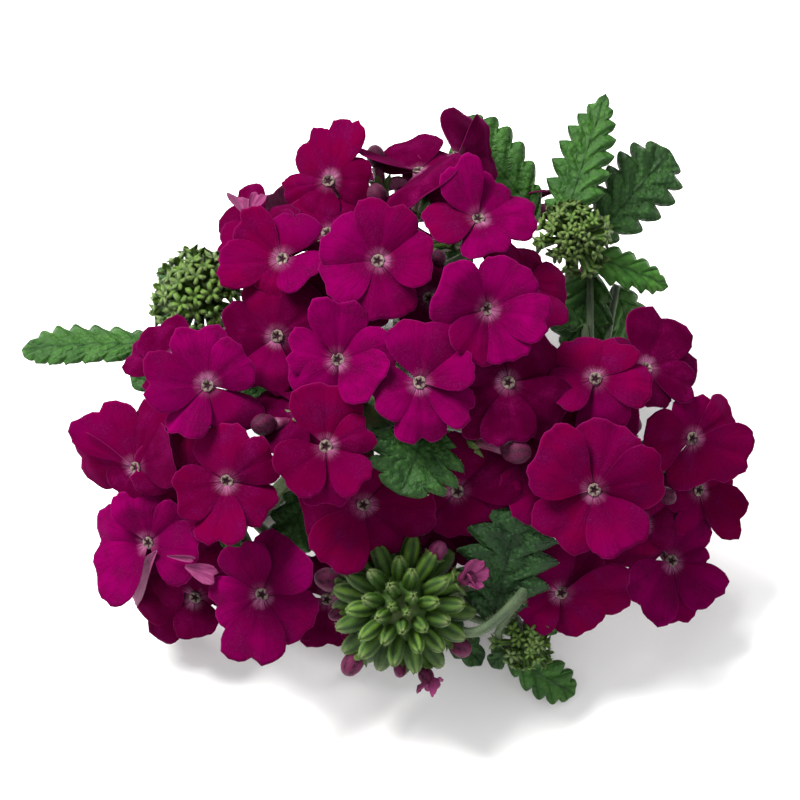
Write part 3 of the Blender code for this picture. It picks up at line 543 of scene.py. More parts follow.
def set_down(local, place, axes):
    """Grids (copies, rows, columns, 3) turned to their axes and moved to their places."""
    return place[:, None, None] + local @ axes[:, None]


def add_shells(mesh, upper, lower, marks, kinds):
    """Thin closed sheets from grids (copies, rows, columns, 3): an upper skin, a lower skin and the rim."""
    copies, rows, columns = upper.shape[:3]
    skin, both = rows * columns, 2 * rows * columns
    points = np.stack([upper, lower], 1).reshape(copies * both, 3)
    doubled = np.stack([marks, marks], 1).reshape(copies * both, 4)
    quads = grid_faces(rows, columns)
    index = np.arange(skin).reshape(rows, columns)
    edge = np.concatenate([index[0, :-1], index[:-1, -1], index[-1, :0:-1], index[:0:-1, 0]])
    after = np.roll(edge, -1)
    rim = np.stack([after, edge, edge + skin, after + skin], -1)
    first = mesh.add(points, doubled, repeat_faces(quads, copies, both), kinds[0])
    mesh.more_faces(repeat_faces(quads[:, ::-1] + skin, copies, both), first, kinds[1])
    mesh.more_faces(repeat_faces(rim, copies, both), first, kinds[0])


def add_lathes(mesh, rings, marks, kind):
    """Closed bodies from grids (copies, rows, columns, 3) whose columns go round, their ends shut."""
    copies, rows, columns = rings.shape[:3]
    stride, last = rows * columns + 2, (rows - 1) * columns

    def with_ends(values):
        """Each copy's points, followed by the middles of its first and last rings."""
        ends = np.stack([values[:, 0].mean(1), values[:, -1].mean(1)], 1)
        depth = values.shape[-1]
        return np.concatenate([values.reshape(copies, -1, depth), ends], 1).reshape(-1, depth)

    side = np.arange(columns)
    after = (side + 1) % columns
    low, high = np.full(columns, stride - 2), np.full(columns, stride - 1)
    fans = [np.stack([low, after, side], -1), np.stack([high, last + side, last + after], -1)]
    quads = repeat_faces(grid_faces(rows, columns, True), copies, stride)
    first = mesh.add(with_ends(rings), with_ends(marks), quads, kind)
    mesh.more_faces(repeat_faces(np.concatenate(fans), copies, stride), first, kind)


def add_stalk(mesh, path, radius, squareness, kind, sides=16):
    """A stalk: a rounded square, |x|^n + |y|^n = 1, carried along the path with one side level, and
    scaled by the radius."""
    turn = around(sides) + np.pi / 4
    c, s = np.cos(turn), np.sin(turn)
    bulge = (np.abs(c) ** squareness + np.abs(s) ** squareness) ** (-1 / squareness)
    along = unit(np.gradient(path, axis=0))
    side = np.cross(along, [0, 0, 1.0])
    side = unit(np.where(np.linalg.norm(side, axis=-1, keepdims=True) < 0.05, RIGHTWARD, side))
    up = np.cross(side, along)
    radius = np.broadcast_to(radius, len(path))[:, None, None]
    spokes = side[:, None] * c[:, None] + up[:, None] * s[:, None]
    rings = path[:, None] + radius * bulge[None, :, None] * spokes
    add_lathes(mesh, rings[None], marks_on(rings[None]), kind)
    return rings, path


def add_fuzz(mesh, stalk, count, shortest, longest, kind, lowest=0.0):
    """Short hairs at random places on a stalk, between its rings and above the lowest height."""
    rings, path = stalk
    ring, side = RNG.integers(0, len(rings) - 1, count), RNG.integers(0, rings.shape[1], count)
    share, ahead = RNG.uniform(0, 1, (2, count, 1))
    beside = (side + 1) % rings.shape[1]
    near, far = (rings[k, side] * (1 - share) + rings[k, beside] * share for k in (ring, ring + 1))
    roots = near * (1 - ahead) + far * ahead
    outward = roots - path[ring] * (1 - ahead) - path[ring + 1] * ahead
    kept = roots[:, 2] > lowest
    add_hairs(mesh, roots[kept], outward[kept], RNG.uniform(shortest, longest, kept.sum()) * MM, kind)


def add_hairs(mesh, roots, directions, lengths, kind):
    """Fine hairs: three-sided spikes from their roots, each drooping a little at random."""
    count = len(roots)
    directions = unit(unit(directions) + RNG.normal(0, HAIR_WILDNESS, (count, 3)))
    side = unit(np.cross(directions, unit(RNG.normal(0, 1, (count, 3)))))
    other = np.cross(directions, side)
    turn = around(3)[:, None]
    foot = roots[:, None] + HAIR_RADIUS * (side[:, None] * np.cos(turn) + other[:, None] * np.sin(turn))
    tips = (roots + directions * lengths[:, None])[:, None]
    points = np.concatenate([foot, tips], 1).reshape(-1, 3)
    faces = np.array([[0, 1, 3], [1, 2, 3], [2, 0, 3], [0, 2, 1]])
    mesh.add(points, marks_on(points), repeat_faces(faces, count, 4), kind)


# Florets


def floret_table():
    """Every floret as arrays: head number, place, axes, lowest lobe, radius, rise, streaks and fullness."""
    rows = []
    for number, florets in enumerate(FLORETS.values()):
        for across, up, rise, lean_right, lean_up, turn, diameter, streak, fullness in florets:
            axes = face_axes(facing(lean_right, lean_up))
            rows.append((number, on_dome(across, up, rise), axes, turn, diameter, rise, streak, fullness))
    for head, place, looks, turn, diameter in FAR_FLORETS:
        number, place = list(FLORETS).index(head), np.array(place) * MM + SLIDE
        axes = face_axes(unit(np.array(looks)))
        rows.append((number, place, axes, turn, diameter, FAR_RISE, 0, FAR_FULLNESS))
    head, place, axes, turn, diameter, rise, streak, fullness = (np.array(column) for column in zip(*rows))
    return {
        "head": head, "place": place, "axes": axes, "turn": np.radians(turn), "radius": diameter / 2 * MM,
        "rise": rise, "streak": np.radians(streak), "fullness": fullness,
    }


def lobe_reach(across, notch, skew):
    """A lobe's outline as a share of its length, a rounded square in polar form with a notch: (1 - |a|^n)^m
    times one less a narrow bell near its middle, and a slow rise to one side."""
    rounded = (1 - np.abs(across) ** LOBE_SQUARENESS) ** LOBE_ROUNDING
    bell = np.exp(-(((across - skew * 0.15) / LOBE_NOTCH_WIDTH) ** 2))
    return rounded * (1 - notch * bell) * (1 + skew * across)


def lobe_layout(florets):
    """Each lobe's direction on its floret, its length and how wide it is: evenly spread with some chance,
    or where the sight lines through its seen tips meet the floret's plane. A lobe widens with the wider
    of the rooms beside it."""
    shape = (len(florets["head"]), LOBES)
    angles = florets["turn"][:, None] + around(LOBES) + RNG.normal(0, LOBE_ANGLE_CHANCE, shape)
    sizes = florets["radius"][:, None] * (1 + RNG.normal(0, LOBE_LENGTH_CHANCE, shape))
    middles = [row[:2] for rows in FLORETS.values() for row in rows]
    for middle, tips in LOBE_TIPS.items():
        floret = middles.index(middle)
        place, axes = florets["place"][floret], florets["axes"][floret]
        across, up = np.array(tips).T
        start = seen_at(across, up, np.zeros(LOBES))
        step = seen_at(across, up, np.ones(LOBES)) - start
        local = start + step * (((place - start) @ axes[2]) / (step @ axes[2]))[:, None] - place
        x, y = local @ axes[0], local @ axes[1]
        angles[floret] = np.arctan2(y, x)
        sizes[floret] = np.clip(np.hypot(x, y), *(florets["radius"][floret] * np.array(LOBE_LENGTHS)))
    full = 2 * np.pi
    order = np.argsort(angles % full, axis=1)
    ordered = np.take_along_axis(angles % full, order, 1)
    after = (np.roll(ordered, -1, 1) - ordered) % full
    room = np.clip(np.maximum(after, np.roll(after, 1, 1)) * LOBES / full, *LOBE_WIDENING)
    widths = np.empty_like(room)
    np.put_along_axis(widths, order, room, 1)
    return angles, sizes, widths


def lobe_bends(florets, angles, sizes):
    """How far each lobe's tip bends back: as far as the tip stands above any floret that lies over it."""
    tip = sizes[..., None] * BENT_SHARE * np.stack([np.cos(angles), np.sin(angles)], -1)
    axes, place, rise = florets["axes"], florets["place"], florets["rise"]
    tips = place[:, None] + tip[..., :1] * axes[:, None, 0] + tip[..., 1:] * axes[:, None, 1]
    local = np.einsum("ilkc,kdc->ilkd", tips[:, :, None] - place[None, None], axes)
    over = np.hypot(local[..., 0], local[..., 1]) < florets["radius"] * COVER_SHARE
    over &= rise[None, None] > rise[:, None, None]
    over &= (local[..., 2] > -LAYER_GAP) & (local[..., 2] < BEND_LIMIT)
    return np.where(over, local[..., 2] + LAYER_GAP, 0).max(-1) * BEND_EXTRA


def petal_folds(count, wildness=1.0):
    """Random folds, one set a lobe, in shares of the lobe's length; saddle and tone go by the floret."""
    florets = -(-count // LOBES)

    def one_a_floret(low, high):
        """The same chance value for each lobe of a floret."""
        return np.repeat(RNG.uniform(low, high, florets), LOBES)[:count]

    return {
        "phase": RNG.uniform(0, 6.28, count),
        "ripple": RNG.uniform(0.015, 0.055, count) * wildness,
        "cup": RNG.normal(0, 0.045, count) * wildness,
        "arch": RNG.normal(0, 0.05, count) * wildness,
        "lift": RNG.normal(0.03, 0.16, count) * wildness,
        "roll": RNG.normal(0.0, 0.20, count) * wildness,
        "curl": RNG.uniform(-0.06, 0.20, count) * wildness,
        "widen": RNG.normal(0, 0.8, count),
        "notch": RNG.uniform(0.02, 0.13, count),
        "skew": RNG.normal(0, 0.07, count),
        "tone": np.clip(one_a_floret(0.15, 0.85) + RNG.normal(0, 0.15, count), 0, 1),
        "saddle": one_a_floret(0.0, 0.07) * wildness,
        "saddle_turn": one_a_floret(0, 3.14),
    }


def add_lobes(mesh, kinds, place, axes, angle, size, fullness, folds, bend=0.0, streak=0.0):
    """Lobes as thin shells. Across runs from -1 to 1 over the lobe's angle, which widens from a narrow
    claw, and out from the throat to its outline. Height is a cup rising with the square of the share of
    the length, less an arch falling to both sides, a crease along the middle and a curl at the rim, plus
    a twist that lifts one side over the next lobe, a saddle over the whole floret, ripples that grow to
    the rim, and the bend back."""
    across = np.sin(np.linspace(-1, 1, LOBE_COLUMNS) * np.pi / 2)[None, None]
    out = (np.linspace(0, 1, LOBE_ROWS) ** 0.9)[None, :, None]
    given = (angle, size, fullness, bend, streak)
    angle, size, fullness, bend, streak = (
        np.broadcast_to(value, len(place))[:, None, None] for value in given)
    fold = {key: value[:, None, None] for key, value in folds.items()}
    phase = fold["phase"]
    crinkle = 1 + sum(tall * np.sin(across * waves + phase * drift) for tall, waves, drift in RIM_CRINKLES)
    outline = size * lobe_reach(across, fold["notch"], fold["skew"]) * crinkle
    reach = THROAT_RADIUS + (np.maximum(outline, THROAT_RADIUS * 1.05) - THROAT_RADIUS) * out
    share = reach / size
    claw = CLAW_SHARE + (1 - CLAW_SHARE) * ease(share, *CLAW_LENGTH)
    turn = angle + across * LOBE_HALF_ANGLE * claw * (fullness + 0.05 * fold["widen"])
    crease = np.exp(-(((across - fold["skew"] * 0.3) / CREASE_WIDTH) ** 2))
    height = (LIMB_CUP + fold["cup"]) * share**2 - (LOBE_ARCH + fold["arch"]) * share * across**2
    height += (LOBE_TWIST + fold["roll"]) * share * across + fold["lift"] * share
    height -= LOBE_CREASE * share * (1 - 0.4 * share) * crease
    height -= (RIM_CURL + fold["curl"]) * ease(share, *CURLED_SHARE)
    for tall, power, waves, drift in RIPPLES:
        height += tall * fold["ripple"] * share**power * np.sin(across * waves + phase * drift)
    height += fold["saddle"] * share**2 * np.cos(2 * (turn - fold["saddle_turn"]))
    height = size * height - bend * share**2
    upper = set_down(ring_grid(reach, turn, height), place, axes)
    lower = upper - axes[:, None, None, 2] * PETAL_THICKNESS
    streaked = 0.2 + 0.8 * (0.5 + 0.5 * np.cos(turn - streak)) ** 2
    halo = ease(-reach / MM, -HALO_REACH, -HALO_START) * streaked
    add_shells(mesh, upper, lower, marks_on(upper, halo, across * 0.5 + 0.5, out, fold["tone"]), kinds)


def add_florets(mesh, florets, chosen, bends, layout):
    """The five lobes of each chosen floret, with painted shade that darkens them the deeper the floret lies.
    """
    owner = np.flatnonzero(chosen).repeat(LOBES)
    angles, sizes, widths = (values[chosen].ravel() for values in layout)
    folds = petal_folds(len(owner))
    # Painted shade and light: the tone is lowered on florets below the dome and raised a little on those
    # above it.
    folds["tone"] += np.clip(florets["rise"][owner] / MM * DEPTH_PAINTED_SHADE, *DEPTH_PAINTED_SHADES)
    add_lobes(mesh, (0, 1), florets["place"][owner], florets["axes"][owner], angles, sizes,
              florets["fullness"][owner] * widths, folds, bends[chosen].ravel(), florets["streak"][owner])


def add_eyes(mesh, place, axes):
    """Each eye: a low fuzzy ring round the mouth, its inner edge drawn into a five-pointed star, and a
    cup inside, dark with painted shade. Its profile's radius swells and shrinks round the ring, in waves that
    grow inward."""
    profile = np.array(EYE_PROFILE) * MM
    turn = around(EYE_SIDES)
    inward = np.linspace(0, 1, len(profile))[:, None]
    star = np.cos(LOBES * turn)
    knobs = 1 + EYE_STAR * star * ease(inward, 0.45, 0.85)
    knobs += EYE_TUFTS * np.sin(9 * turn) * ease(inward, 0.2, 0.5)
    rings = set_down(ring_grid(profile[:, :1] * knobs, turn, profile[:, 1:]), place, axes)
    chance = RNG.uniform(0, 1, len(place))[:, None, None]
    add_lathes(mesh, rings, marks_on(rings, inward, 0.5 + 0.5 * star, chance), 2)


def add_tubes(mesh, place, axes, core, kind):
    """Each floret's tube: a circle carried along a quadratic curve that leaves its face squarely."""
    t = np.linspace(0, 1, TUBE_STEPS)[None, :, None]
    control = place - axes[:, 2] * TUBE_STRAIGHT
    path = place[:, None] * (1 - t) ** 2 + control[:, None] * 2 * t * (1 - t) + core * t**2
    path = path - axes[:, None, 2] * TUBE_SINK * (1 - t)
    along = unit(np.gradient(path, axis=1))
    side = unit(np.cross(along, axes[:, None, 0] + 0.01))
    other = np.cross(along, side)
    turn = around(TUBE_SIDES)[:, None]
    radius = ((TUBE_RADIUS + TUBE_FLARE * (1 - t) ** 4) * MM)[..., None]
    rings = path[:, :, None] + radius * (side[:, :, None] * np.cos(turn) + other[:, :, None] * np.sin(turn))
    add_lathes(mesh, rings, marks_on(rings, t), kind)
    return path


# Calyces, buds and hairs


def add_calyces(mesh, root, tip, width, openness, tone, kinds, hairs_each, hair_length):
    """Calyces: a five-ribbed tube whose width follows a profile between closed and open, its mouth cut into
    five pointed teeth, and turned in at the mouth. The height between the teeth is lowered near the end."""
    turn = around(CALYX_SIDES)
    tooth = np.abs(np.cos(LOBES / 2 * turn)) ** 0.8
    count, outside = len(root), len(CALYX_ROWS) - MOUTH_ROWS
    width, openness, tone = (
        np.broadcast_to(value, count)[:, None, None] for value in (width, openness, tone))
    t, closed, opened = (rows[None, :, None] for rows in (CALYX_ROWS, CLOSED_WIDTH, OPEN_WIDTH))
    is_outside = np.arange(len(CALYX_ROWS))[None, :, None] < outside
    rib = 1 + CALYX_RIBS * (2 * tooth - 1) * ease(t, 0.1, 0.4)
    star = 1 + STAR_DEPTH * openness * (2 * tooth - 1) * ease(t, 0.75, 1.0)
    between = (0.03 + 0.28 * openness) * ease(t, 0.66, 1.0) * (1 - tooth)
    radius = width * (closed * (1 - openness) + opened * openness) * np.where(is_outside, rib * star, 1)
    height = t - np.where(is_outside, between, 0)
    directions = unit(tip - root)
    length = np.linalg.norm(tip - root, axis=-1)[:, None, None]
    axes = axis_frames(directions)
    local = ring_grid(radius, turn, height * length)
    rings = set_down(local, root, axes)
    add_lathes(mesh, rings, marks_on(rings, height, tooth, tone), kinds[0])
    picks = (np.repeat(np.arange(count), hairs_each), RNG.integers(3, 9, count * hairs_each),
             RNG.integers(0, CALYX_SIDES, count * hairs_each))
    outward = unit(local[picks][:, :2] @ np.eye(2, 3))
    outward = np.einsum("nd,nde->ne", outward, axes[picks[0]]) + 0.5 * directions[picks[0]]
    lengths = hair_length * RNG.uniform(0.5, 1.2, len(outward))
    add_hairs(mesh, rings[picks], outward, lengths, kinds[1])


def add_bulbs(mesh, place, directions, radius, stretch, kind, folds=0.10):
    """Small closed corollas: a sphere stretched along its direction, with five spiralling folds."""
    polar = np.linspace(0.08, np.pi - 0.04, 12)[None, :, None]
    turn = around(20)
    ridge = np.abs(np.cos(turn * LOBES / 2 + polar * 1.4))
    ring = np.sin(polar) * (1 - folds * (1 - ridge) ** 2 * np.sin(polar))
    radius = np.broadcast_to(radius, len(place))[:, None, None]
    local = ring_grid(ring * radius, turn, -np.cos(polar) * radius * stretch)
    rings = set_down(local, place, axis_frames(directions))
    add_lathes(mesh, rings, marks_on(rings, polar / np.pi, ridge), kind)


def bud_directions(normal, count):
    """Directions spread by the golden angle over the cap round normal, with how far out each is, 0 to 1."""
    share = (np.arange(count) + 0.5) / count
    polar = np.arccos(1 - (1 - np.cos(BUD_SPREAD)) * share**BUD_CROWDING)
    local = ring_grid(np.sin(polar), np.arange(count) * GOLDEN_TURN, np.cos(polar))
    return local @ face_axes(normal), share


# Leaves


def half_width(along, width, teeth, roundness, depth, widest):
    """Half the leaf's width at a share of its length: a bell with its peak at the widest place times a
    saw of forward teeth, whose edge rises slowly and falls quickly, mixed with round teeth."""
    near, far = (np.maximum(value, 1e-6) for value in (along / widest, (1 - along) / (1 - widest)))
    smooth = width / 2 * near ** (LEAF_SLENDERNESS * widest) * far ** (LEAF_SLENDERNESS * (1 - widest))
    phase = (along * teeth) % 1
    rise, fall = (phase / TOOTH_PEAK) ** 0.8, ((1 - phase) / (1 - TOOTH_PEAK)) ** 0.9
    saw = np.where(phase < TOOTH_PEAK, rise, fall)
    scallop = np.abs(np.sin(np.pi * phase**1.25)) ** 0.6
    edge = saw * (1 - roundness) + scallop * roundness
    return smooth * (1.03 - TOOTH_DEPTH * depth * (1 - edge)), smooth


def blade_grids(base, tip, normal, width, teeth, arch, roundness, depth, widest, seed):
    """A leaf as a grid, across from -1 to 1 and along from 0 to 1, swept forward to the sides. Height is
    the bow along the midrib, a lift and a droop to the sides, a groove on the midrib and on each side
    vein, with the tissue between quilted upward, and waves along the edge."""
    along = np.linspace(0, 1, teeth * ROWS_A_TOOTH + 1)[:, None]
    across = np.linspace(-1, 1, BLADE_COLUMNS)[None]
    beside = np.abs(across)
    length = np.linalg.norm(tip - base)
    forward = (tip - base) / length
    face = unit(normal - forward * (normal @ forward))
    half, smooth_half = half_width(along, width, teeth, roundness, depth, widest)
    spacing = length / teeth
    slant = VEIN_SLANT * smooth_half * (1 - beside) / spacing
    vein = np.abs(((along * teeth - TOOTH_PEAK + slant) + 0.5) % 1 - 0.5) * spacing
    groove = np.maximum(np.exp(-((vein / VEIN_GROOVE) ** 2)) * ease(beside, 0.02, 0.2) * 0.8,
                        np.exp(-((beside * half / MIDRIB_GROOVE) ** 2)))
    pillow = spacing * np.minimum(1, vein / spacing * 2.4) ** 0.6
    lumps = np.sin(across * half / MM * 3.1 + seed + along * 5)
    lumps = lumps * np.sin(along * length / MM * 3.4 + seed * 2)
    height = 4 * arch * along * (1 - along) + 0.24 * beside * half - 0.20 * half * beside**3
    height += QUILT_HEIGHT * pillow * ease(1 - beside, 0.0, 0.3)
    height += QUILT_HEIGHT * MM * (lumps * 0.5 + 0.5) * (1 - groove)
    height += 0.07 * half * np.sin(along * 9 + seed) * across
    height += 0.08 * half * beside**4 * np.sin(along * teeth * 2 * np.pi + seed)
    sweep = 0.10 * beside**1.5 * np.sin(np.pi * along) ** 0.5 * (1 - along**6)
    upper = base + forward * ((along + sweep) * length)[..., None]
    upper = upper + np.cross(face, forward) * (across * half)[..., None] + face * height[..., None]
    return upper, groove, across * 0.5 + 0.5, along, face


def add_blades(mesh, owner, kinds, hair_kind):
    """The owner's leaves, with short hairs along their edges; returns where their stalks join them."""
    ends, midrib = [], BLADE_COLUMNS // 2
    for number, blade in enumerate(BLADES.get(owner, [])):
        base, tip, width, teeth, lean_right, lean_up, arch, tone, roundness, depth, widest = blade
        upper, groove, across, along, face = blade_grids(
            seen_at(*base), seen_at(*tip), facing(lean_right, lean_up), width * MM, teeth, arch * MM,
            roundness, depth, widest, number * 1.7 + len(owner))
        marks = marks_on(upper[None], groove, across, along, tone)
        add_shells(mesh, upper[None], (upper - face * BLADE_THICKNESS)[None], marks, kinds)
        edge = np.concatenate([upper[:, 0], upper[:, -1]])
        outward = edge - np.concatenate([upper[:, midrib], upper[:, midrib]])
        picks = RNG.integers(2, len(edge) - 2, len(edge))
        lengths = RNG.uniform(0.15, 0.4, len(picks)) * MM
        add_hairs(mesh, edge[picks], outward[picks] + face * 0.002, lengths, hair_kind)
        ends.append(upper[1, midrib])
    return ends


# Materials


class Wiring:
    """A node tree, with short ways to lay masks, noises, mixes of colours and sums in it."""

    def __init__(self, tree):
        self.tree = tree

    def feed(self, socket, value):
        """Gives a socket a number or a colour, or links another socket to it."""
        if isinstance(value, bpy.types.NodeSocket):
            self.tree.links.new(value, socket)
        else:
            socket.default_value = (*value, 1) if isinstance(value, tuple) else value

    def node(self, kind, inputs, **settings):
        """A new node with its settings, and with each named input fed."""
        node = self.tree.nodes.new(f"ShaderNode{kind}")
        for label, value in settings.items():
            setattr(node, label, value)
        for label, value in inputs.items():
            named = (socket for socket in node.inputs if socket.enabled and socket.name == label)
            self.feed(next(named), value)
        return node

    def maths(self, operation, *values):
        """One operation on values or sockets."""
        node = self.node("Math", {}, operation=operation)
        for socket, value in zip(node.inputs, values):
            self.feed(socket, value)
        return node.outputs["Value"]

    def times(self, first, *others):
        """The product of sockets and values."""
        for other in others:
            first = self.maths("MULTIPLY", first, other)
        return first

    def plus(self, first, second):
        """The sum of two sockets or values."""
        return self.maths("ADD", first, second)

    def minus(self, first, second):
        """The first less the second."""
        return self.maths("SUBTRACT", first, second)

    def fade(self, value, low, high):
        """A smooth mask: 0 where value is at low, 1 where it is at high."""
        limits = {"Value": value, "From Min": low, "From Max": high}
        return self.node("MapRange", limits, interpolation_type="SMOOTHSTEP").outputs["Result"]

    def mix(self, factor, first, second):
        """Two colours or sockets mixed by a factor."""
        node = self.node("Mix", {"Factor": factor, "A": first, "B": second}, data_type="RGBA")
        return next(socket for socket in node.outputs if socket.enabled)

    def place(self):
        """Where a point is, in object space."""
        return self.node("TexCoord", {}).outputs["Object"]

    def noise(self, vector, scale, detail):
        """Cloudy noise, 0 to 1, at a scale in object space or in the given coordinates."""
        inputs = {"Vector": vector, "Scale": scale, "Detail": detail, "Roughness": NOISE_ROUGHNESS}
        return self.node("TexNoise", inputs).outputs["Fac"]


def grain_group():
    """Fine velvety grain on living tissue: a height from two noises in object space, and one of them."""
    group = bpy.data.node_groups.new("tissue grain", "ShaderNodeTree")
    group.interface.new_socket("Scale", in_out="INPUT", socket_type="NodeSocketFloat").default_value = 1.0
    for label in ("Height", "Cloud"):
        group.interface.new_socket(label, in_out="OUTPUT", socket_type="NodeSocketFloat")
    given, result = group.nodes.new("NodeGroupInput"), group.nodes.new("NodeGroupOutput")
    wiring = Wiring(group)
    inputs = {"Vector": wiring.place(), "Scale": given.outputs["Scale"]}
    vector = wiring.node("VectorMath", inputs, operation="SCALE").outputs["Vector"]
    fine, cloud = wiring.noise(vector, GRAIN_FINENESS, 2.0), wiring.noise(vector, CLOUD_FINENESS, 3.0)
    wiring.feed(result.inputs["Height"], wiring.plus(wiring.times(fine, 0.6), wiring.times(cloud, 0.4)))
    wiring.feed(result.inputs["Cloud"], cloud)
    return group


GRAIN = grain_group()


class Finish(Wiring):
    """A material under way: its tree, its shader, the four marks and the tissue grain."""

    def __init__(self, name, roughness, specular=0.5, grain_scale=1.0):
        self.material = bpy.data.materials.new(name)
        self.material.use_nodes = True
        super().__init__(self.material.node_tree)
        self.shader = self.tree.nodes["Principled BSDF"]
        self.gloss = {"Roughness": roughness, "Specular IOR Level": specular}
        attribute = self.node("Attribute", {}, attribute_name="marks")
        split = self.node("SeparateColor", {"Color": attribute.outputs["Color"]})
        colours = [split.outputs[label] for label in ("Red", "Green", "Blue")]
        self.marks = [*colours, attribute.outputs["Alpha"]]
        grain = self.node("Group", {}, node_tree=GRAIN)
        self.feed(grain.inputs["Scale"], grain_scale)
        self.grain, self.cloud = grain.outputs["Height"], grain.outputs["Cloud"]

    def streaks(self, fineness, length):
        """Noise drawn out along the petal, different on each lobe."""
        steps = {axis: self.times(mark, scale)
                 for axis, mark, scale in zip("XYZ", self.marks[1:], (fineness, length, 40))}
        return self.noise(self.node("CombineXYZ", steps).outputs["Vector"], 1.0, 2.0)

    def paint(self, colour, *layers):
        """The base colour: a first colour, and over it each layer's colour where its mask is 1."""
        for mask, over in layers:
            colour = self.mix(mask, colour, over)
        self.gloss["Base Color"] = colour

    def bump(self, height, distance, strength=1.0):
        """Relief from a height, so many metres deep."""
        inputs = {"Height": height, "Distance": distance, "Strength": strength}
        self.gloss["Normal"] = self.node("Bump", inputs).outputs["Normal"]

    def sheen(self, weight, tint, roughness):
        """A soft glow of short fuzz at grazing angles."""
        self.gloss |= {"Sheen Weight": weight, "Sheen Tint": tint, "Sheen Roughness": roughness}

    def done(self):
        """The finished material: everything gathered goes to the shader's own sockets."""
        for label, value in self.gloss.items():
            self.feed(self.shader.inputs[label], value)
        return self.material


def petal_finish():
    """Velvety magenta: crimson to violet lobe by lobe, with painted shade toward the eye and where lobes tuck
    under each other, painted sheen in fine speckles, faint veins, a thin pink rim and pale streaks at the
    eye."""
    finish = Finish("petal velvet", 0.62, specular=0)
    fade, times = finish.fade, finish.times
    halo, across, out, tone = finish.marks
    veins = finish.streaks(34, 2.5)
    wide = finish.noise(finish.place(), 90, 2.0)
    hue = fade(finish.plus(times(wide, 0.7), times(tone, 0.5)), 0.35, 0.85)
    # Painted shade: darker toward the eye, and at a lobe's sides toward its root, where it tucks under its
    # neighbours.
    inner = times(fade(out, 0.70, 0.10), 0.50)
    beside = fade(finish.maths("ABSOLUTE", finish.minus(across, 0.5)), 0.30, 0.50)
    painted_tuck_shade = times(beside, fade(out, 1.0, 0.5), 0.60)
    rays = fade(finish.streaks(22, 1.5), 0.36, 0.58)
    crimson, violet = (0.098, 0, 0.019), (0.084, 0, 0.034)
    # The bright and low-tone colours follow each lobe's tone. That tone differs at random and also carries
    # the painted shade and light by depth.
    bright, low_tone_and_painted_depth_shade = (0.118, 0, 0.044), (0.036, 0, 0.011)
    cloudy, veined, shadowed = (0.058, 0, 0.020), (0.040, 0, 0.014), (0.040, 0, 0.013)
    # The first of the next three colours is painted sheen: pale mauve speckles laid over the fine grain.
    painted_sheen_speckle, pink, pale = (0.16, 0.010, 0.075), (0.20, 0.015, 0.095), (0.30, 0.12, 0.22)
    finish.paint(
        crimson,
        (hue, violet),
        (fade(tone, 0.60, 0.95), bright),
        (fade(tone, 0.60, -0.15), low_tone_and_painted_depth_shade),
        (fade(finish.cloud, 0.35, 0.75), cloudy),
        (times(fade(veins, 0.45, 0.8), 0.45), veined),
        (finish.maths("MAXIMUM", inner, painted_tuck_shade), shadowed),
        (times(fade(finish.grain, 0.50, 0.68), 0.22), painted_sheen_speckle),
        (times(fade(out, 0.975, 1.0), 0.25), pink),
        (times(halo, finish.plus(0.08, times(rays, 0.72))), pale),
    )
    finish.sheen(0.05, (1.0, 0.15, 0.60), 0.4)
    finish.bump(finish.plus(times(veins, 0.5), finish.grain), 0.00016, 0.9)
    return finish.done()


def petal_back_finish():
    """The paler mauve back of a petal."""
    finish = Finish("petal back", 0.6, specular=0.08)
    mauve, streaked = (0.115, 0.008, 0.052), (0.165, 0.034, 0.098)
    finish.paint(mauve, (finish.fade(finish.streaks(40, 3), 0.3, 0.7), streaked))
    finish.bump(finish.grain, 0.0002, 0.6)
    return finish.done()


def eye_finish():
    """The ring at the mouth of the tube: painted shade on its outer wall and in the mouth, whitish fuzz on
    its crest, the painted shade showing as a star within.
    """
    finish = Finish("eye ring", 0.6, specular=0.1, grain_scale=2.0)
    fade, times = finish.fade, finish.times
    inward, star = finish.marks[:2]
    crest = times(fade(inward, 0.34, 0.48), fade(inward, 0.92, 0.70))
    bite = times(fade(star, 0.30, 0.85), fade(inward, 0.46, 0.72))
    tufts = times(crest, finish.minus(1.0, times(bite, 0.7)))
    # The base colour is painted shade on the ring's outer wall, in its cup and in the star's bites. Only the
    # crest's fuzz is whitish.
    painted_shade, whitish = (0.020, 0.004, 0.010), (0.26, 0.20, 0.17)
    finish.paint(painted_shade, (times(tufts, fade(finish.grain, 0.38, 0.60)), whitish))
    finish.bump(finish.grain, 0.0004)
    return finish.done()


def tube_finish():
    """A floret's tube: magenta at the mouth, paling to green-white at its foot."""
    finish = Finish("floret tube", 0.5)
    finish.paint((0.09, 0.001, 0.035), (finish.fade(finish.marks[0], 0.1, 0.8), (0.15, 0.11, 0.07)))
    finish.bump(finish.grain, 0.0002)
    return finish.done()


def closed_bud_finish(name, fold, ridge, dust):
    """An unopened corolla: painted shade in its folds, its own colour on its ridges, dusty in clouds."""
    finish = Finish(name, 0.5, specular=0.15)
    dusty = finish.times(finish.fade(finish.cloud, 0.42, 0.7), 0.5)
    # The fold colour is painted shade in the folds. The ridge colour, the corolla's own, lies on the ridges.
    finish.paint(fold, (finish.fade(finish.marks[1], 0.1, 0.8), ridge), (dusty, dust))
    finish.bump(finish.grain, 0.0003)
    finish.sheen(0.03, (0.9, 0.5, 0.7), 0.4)
    return finish.done()


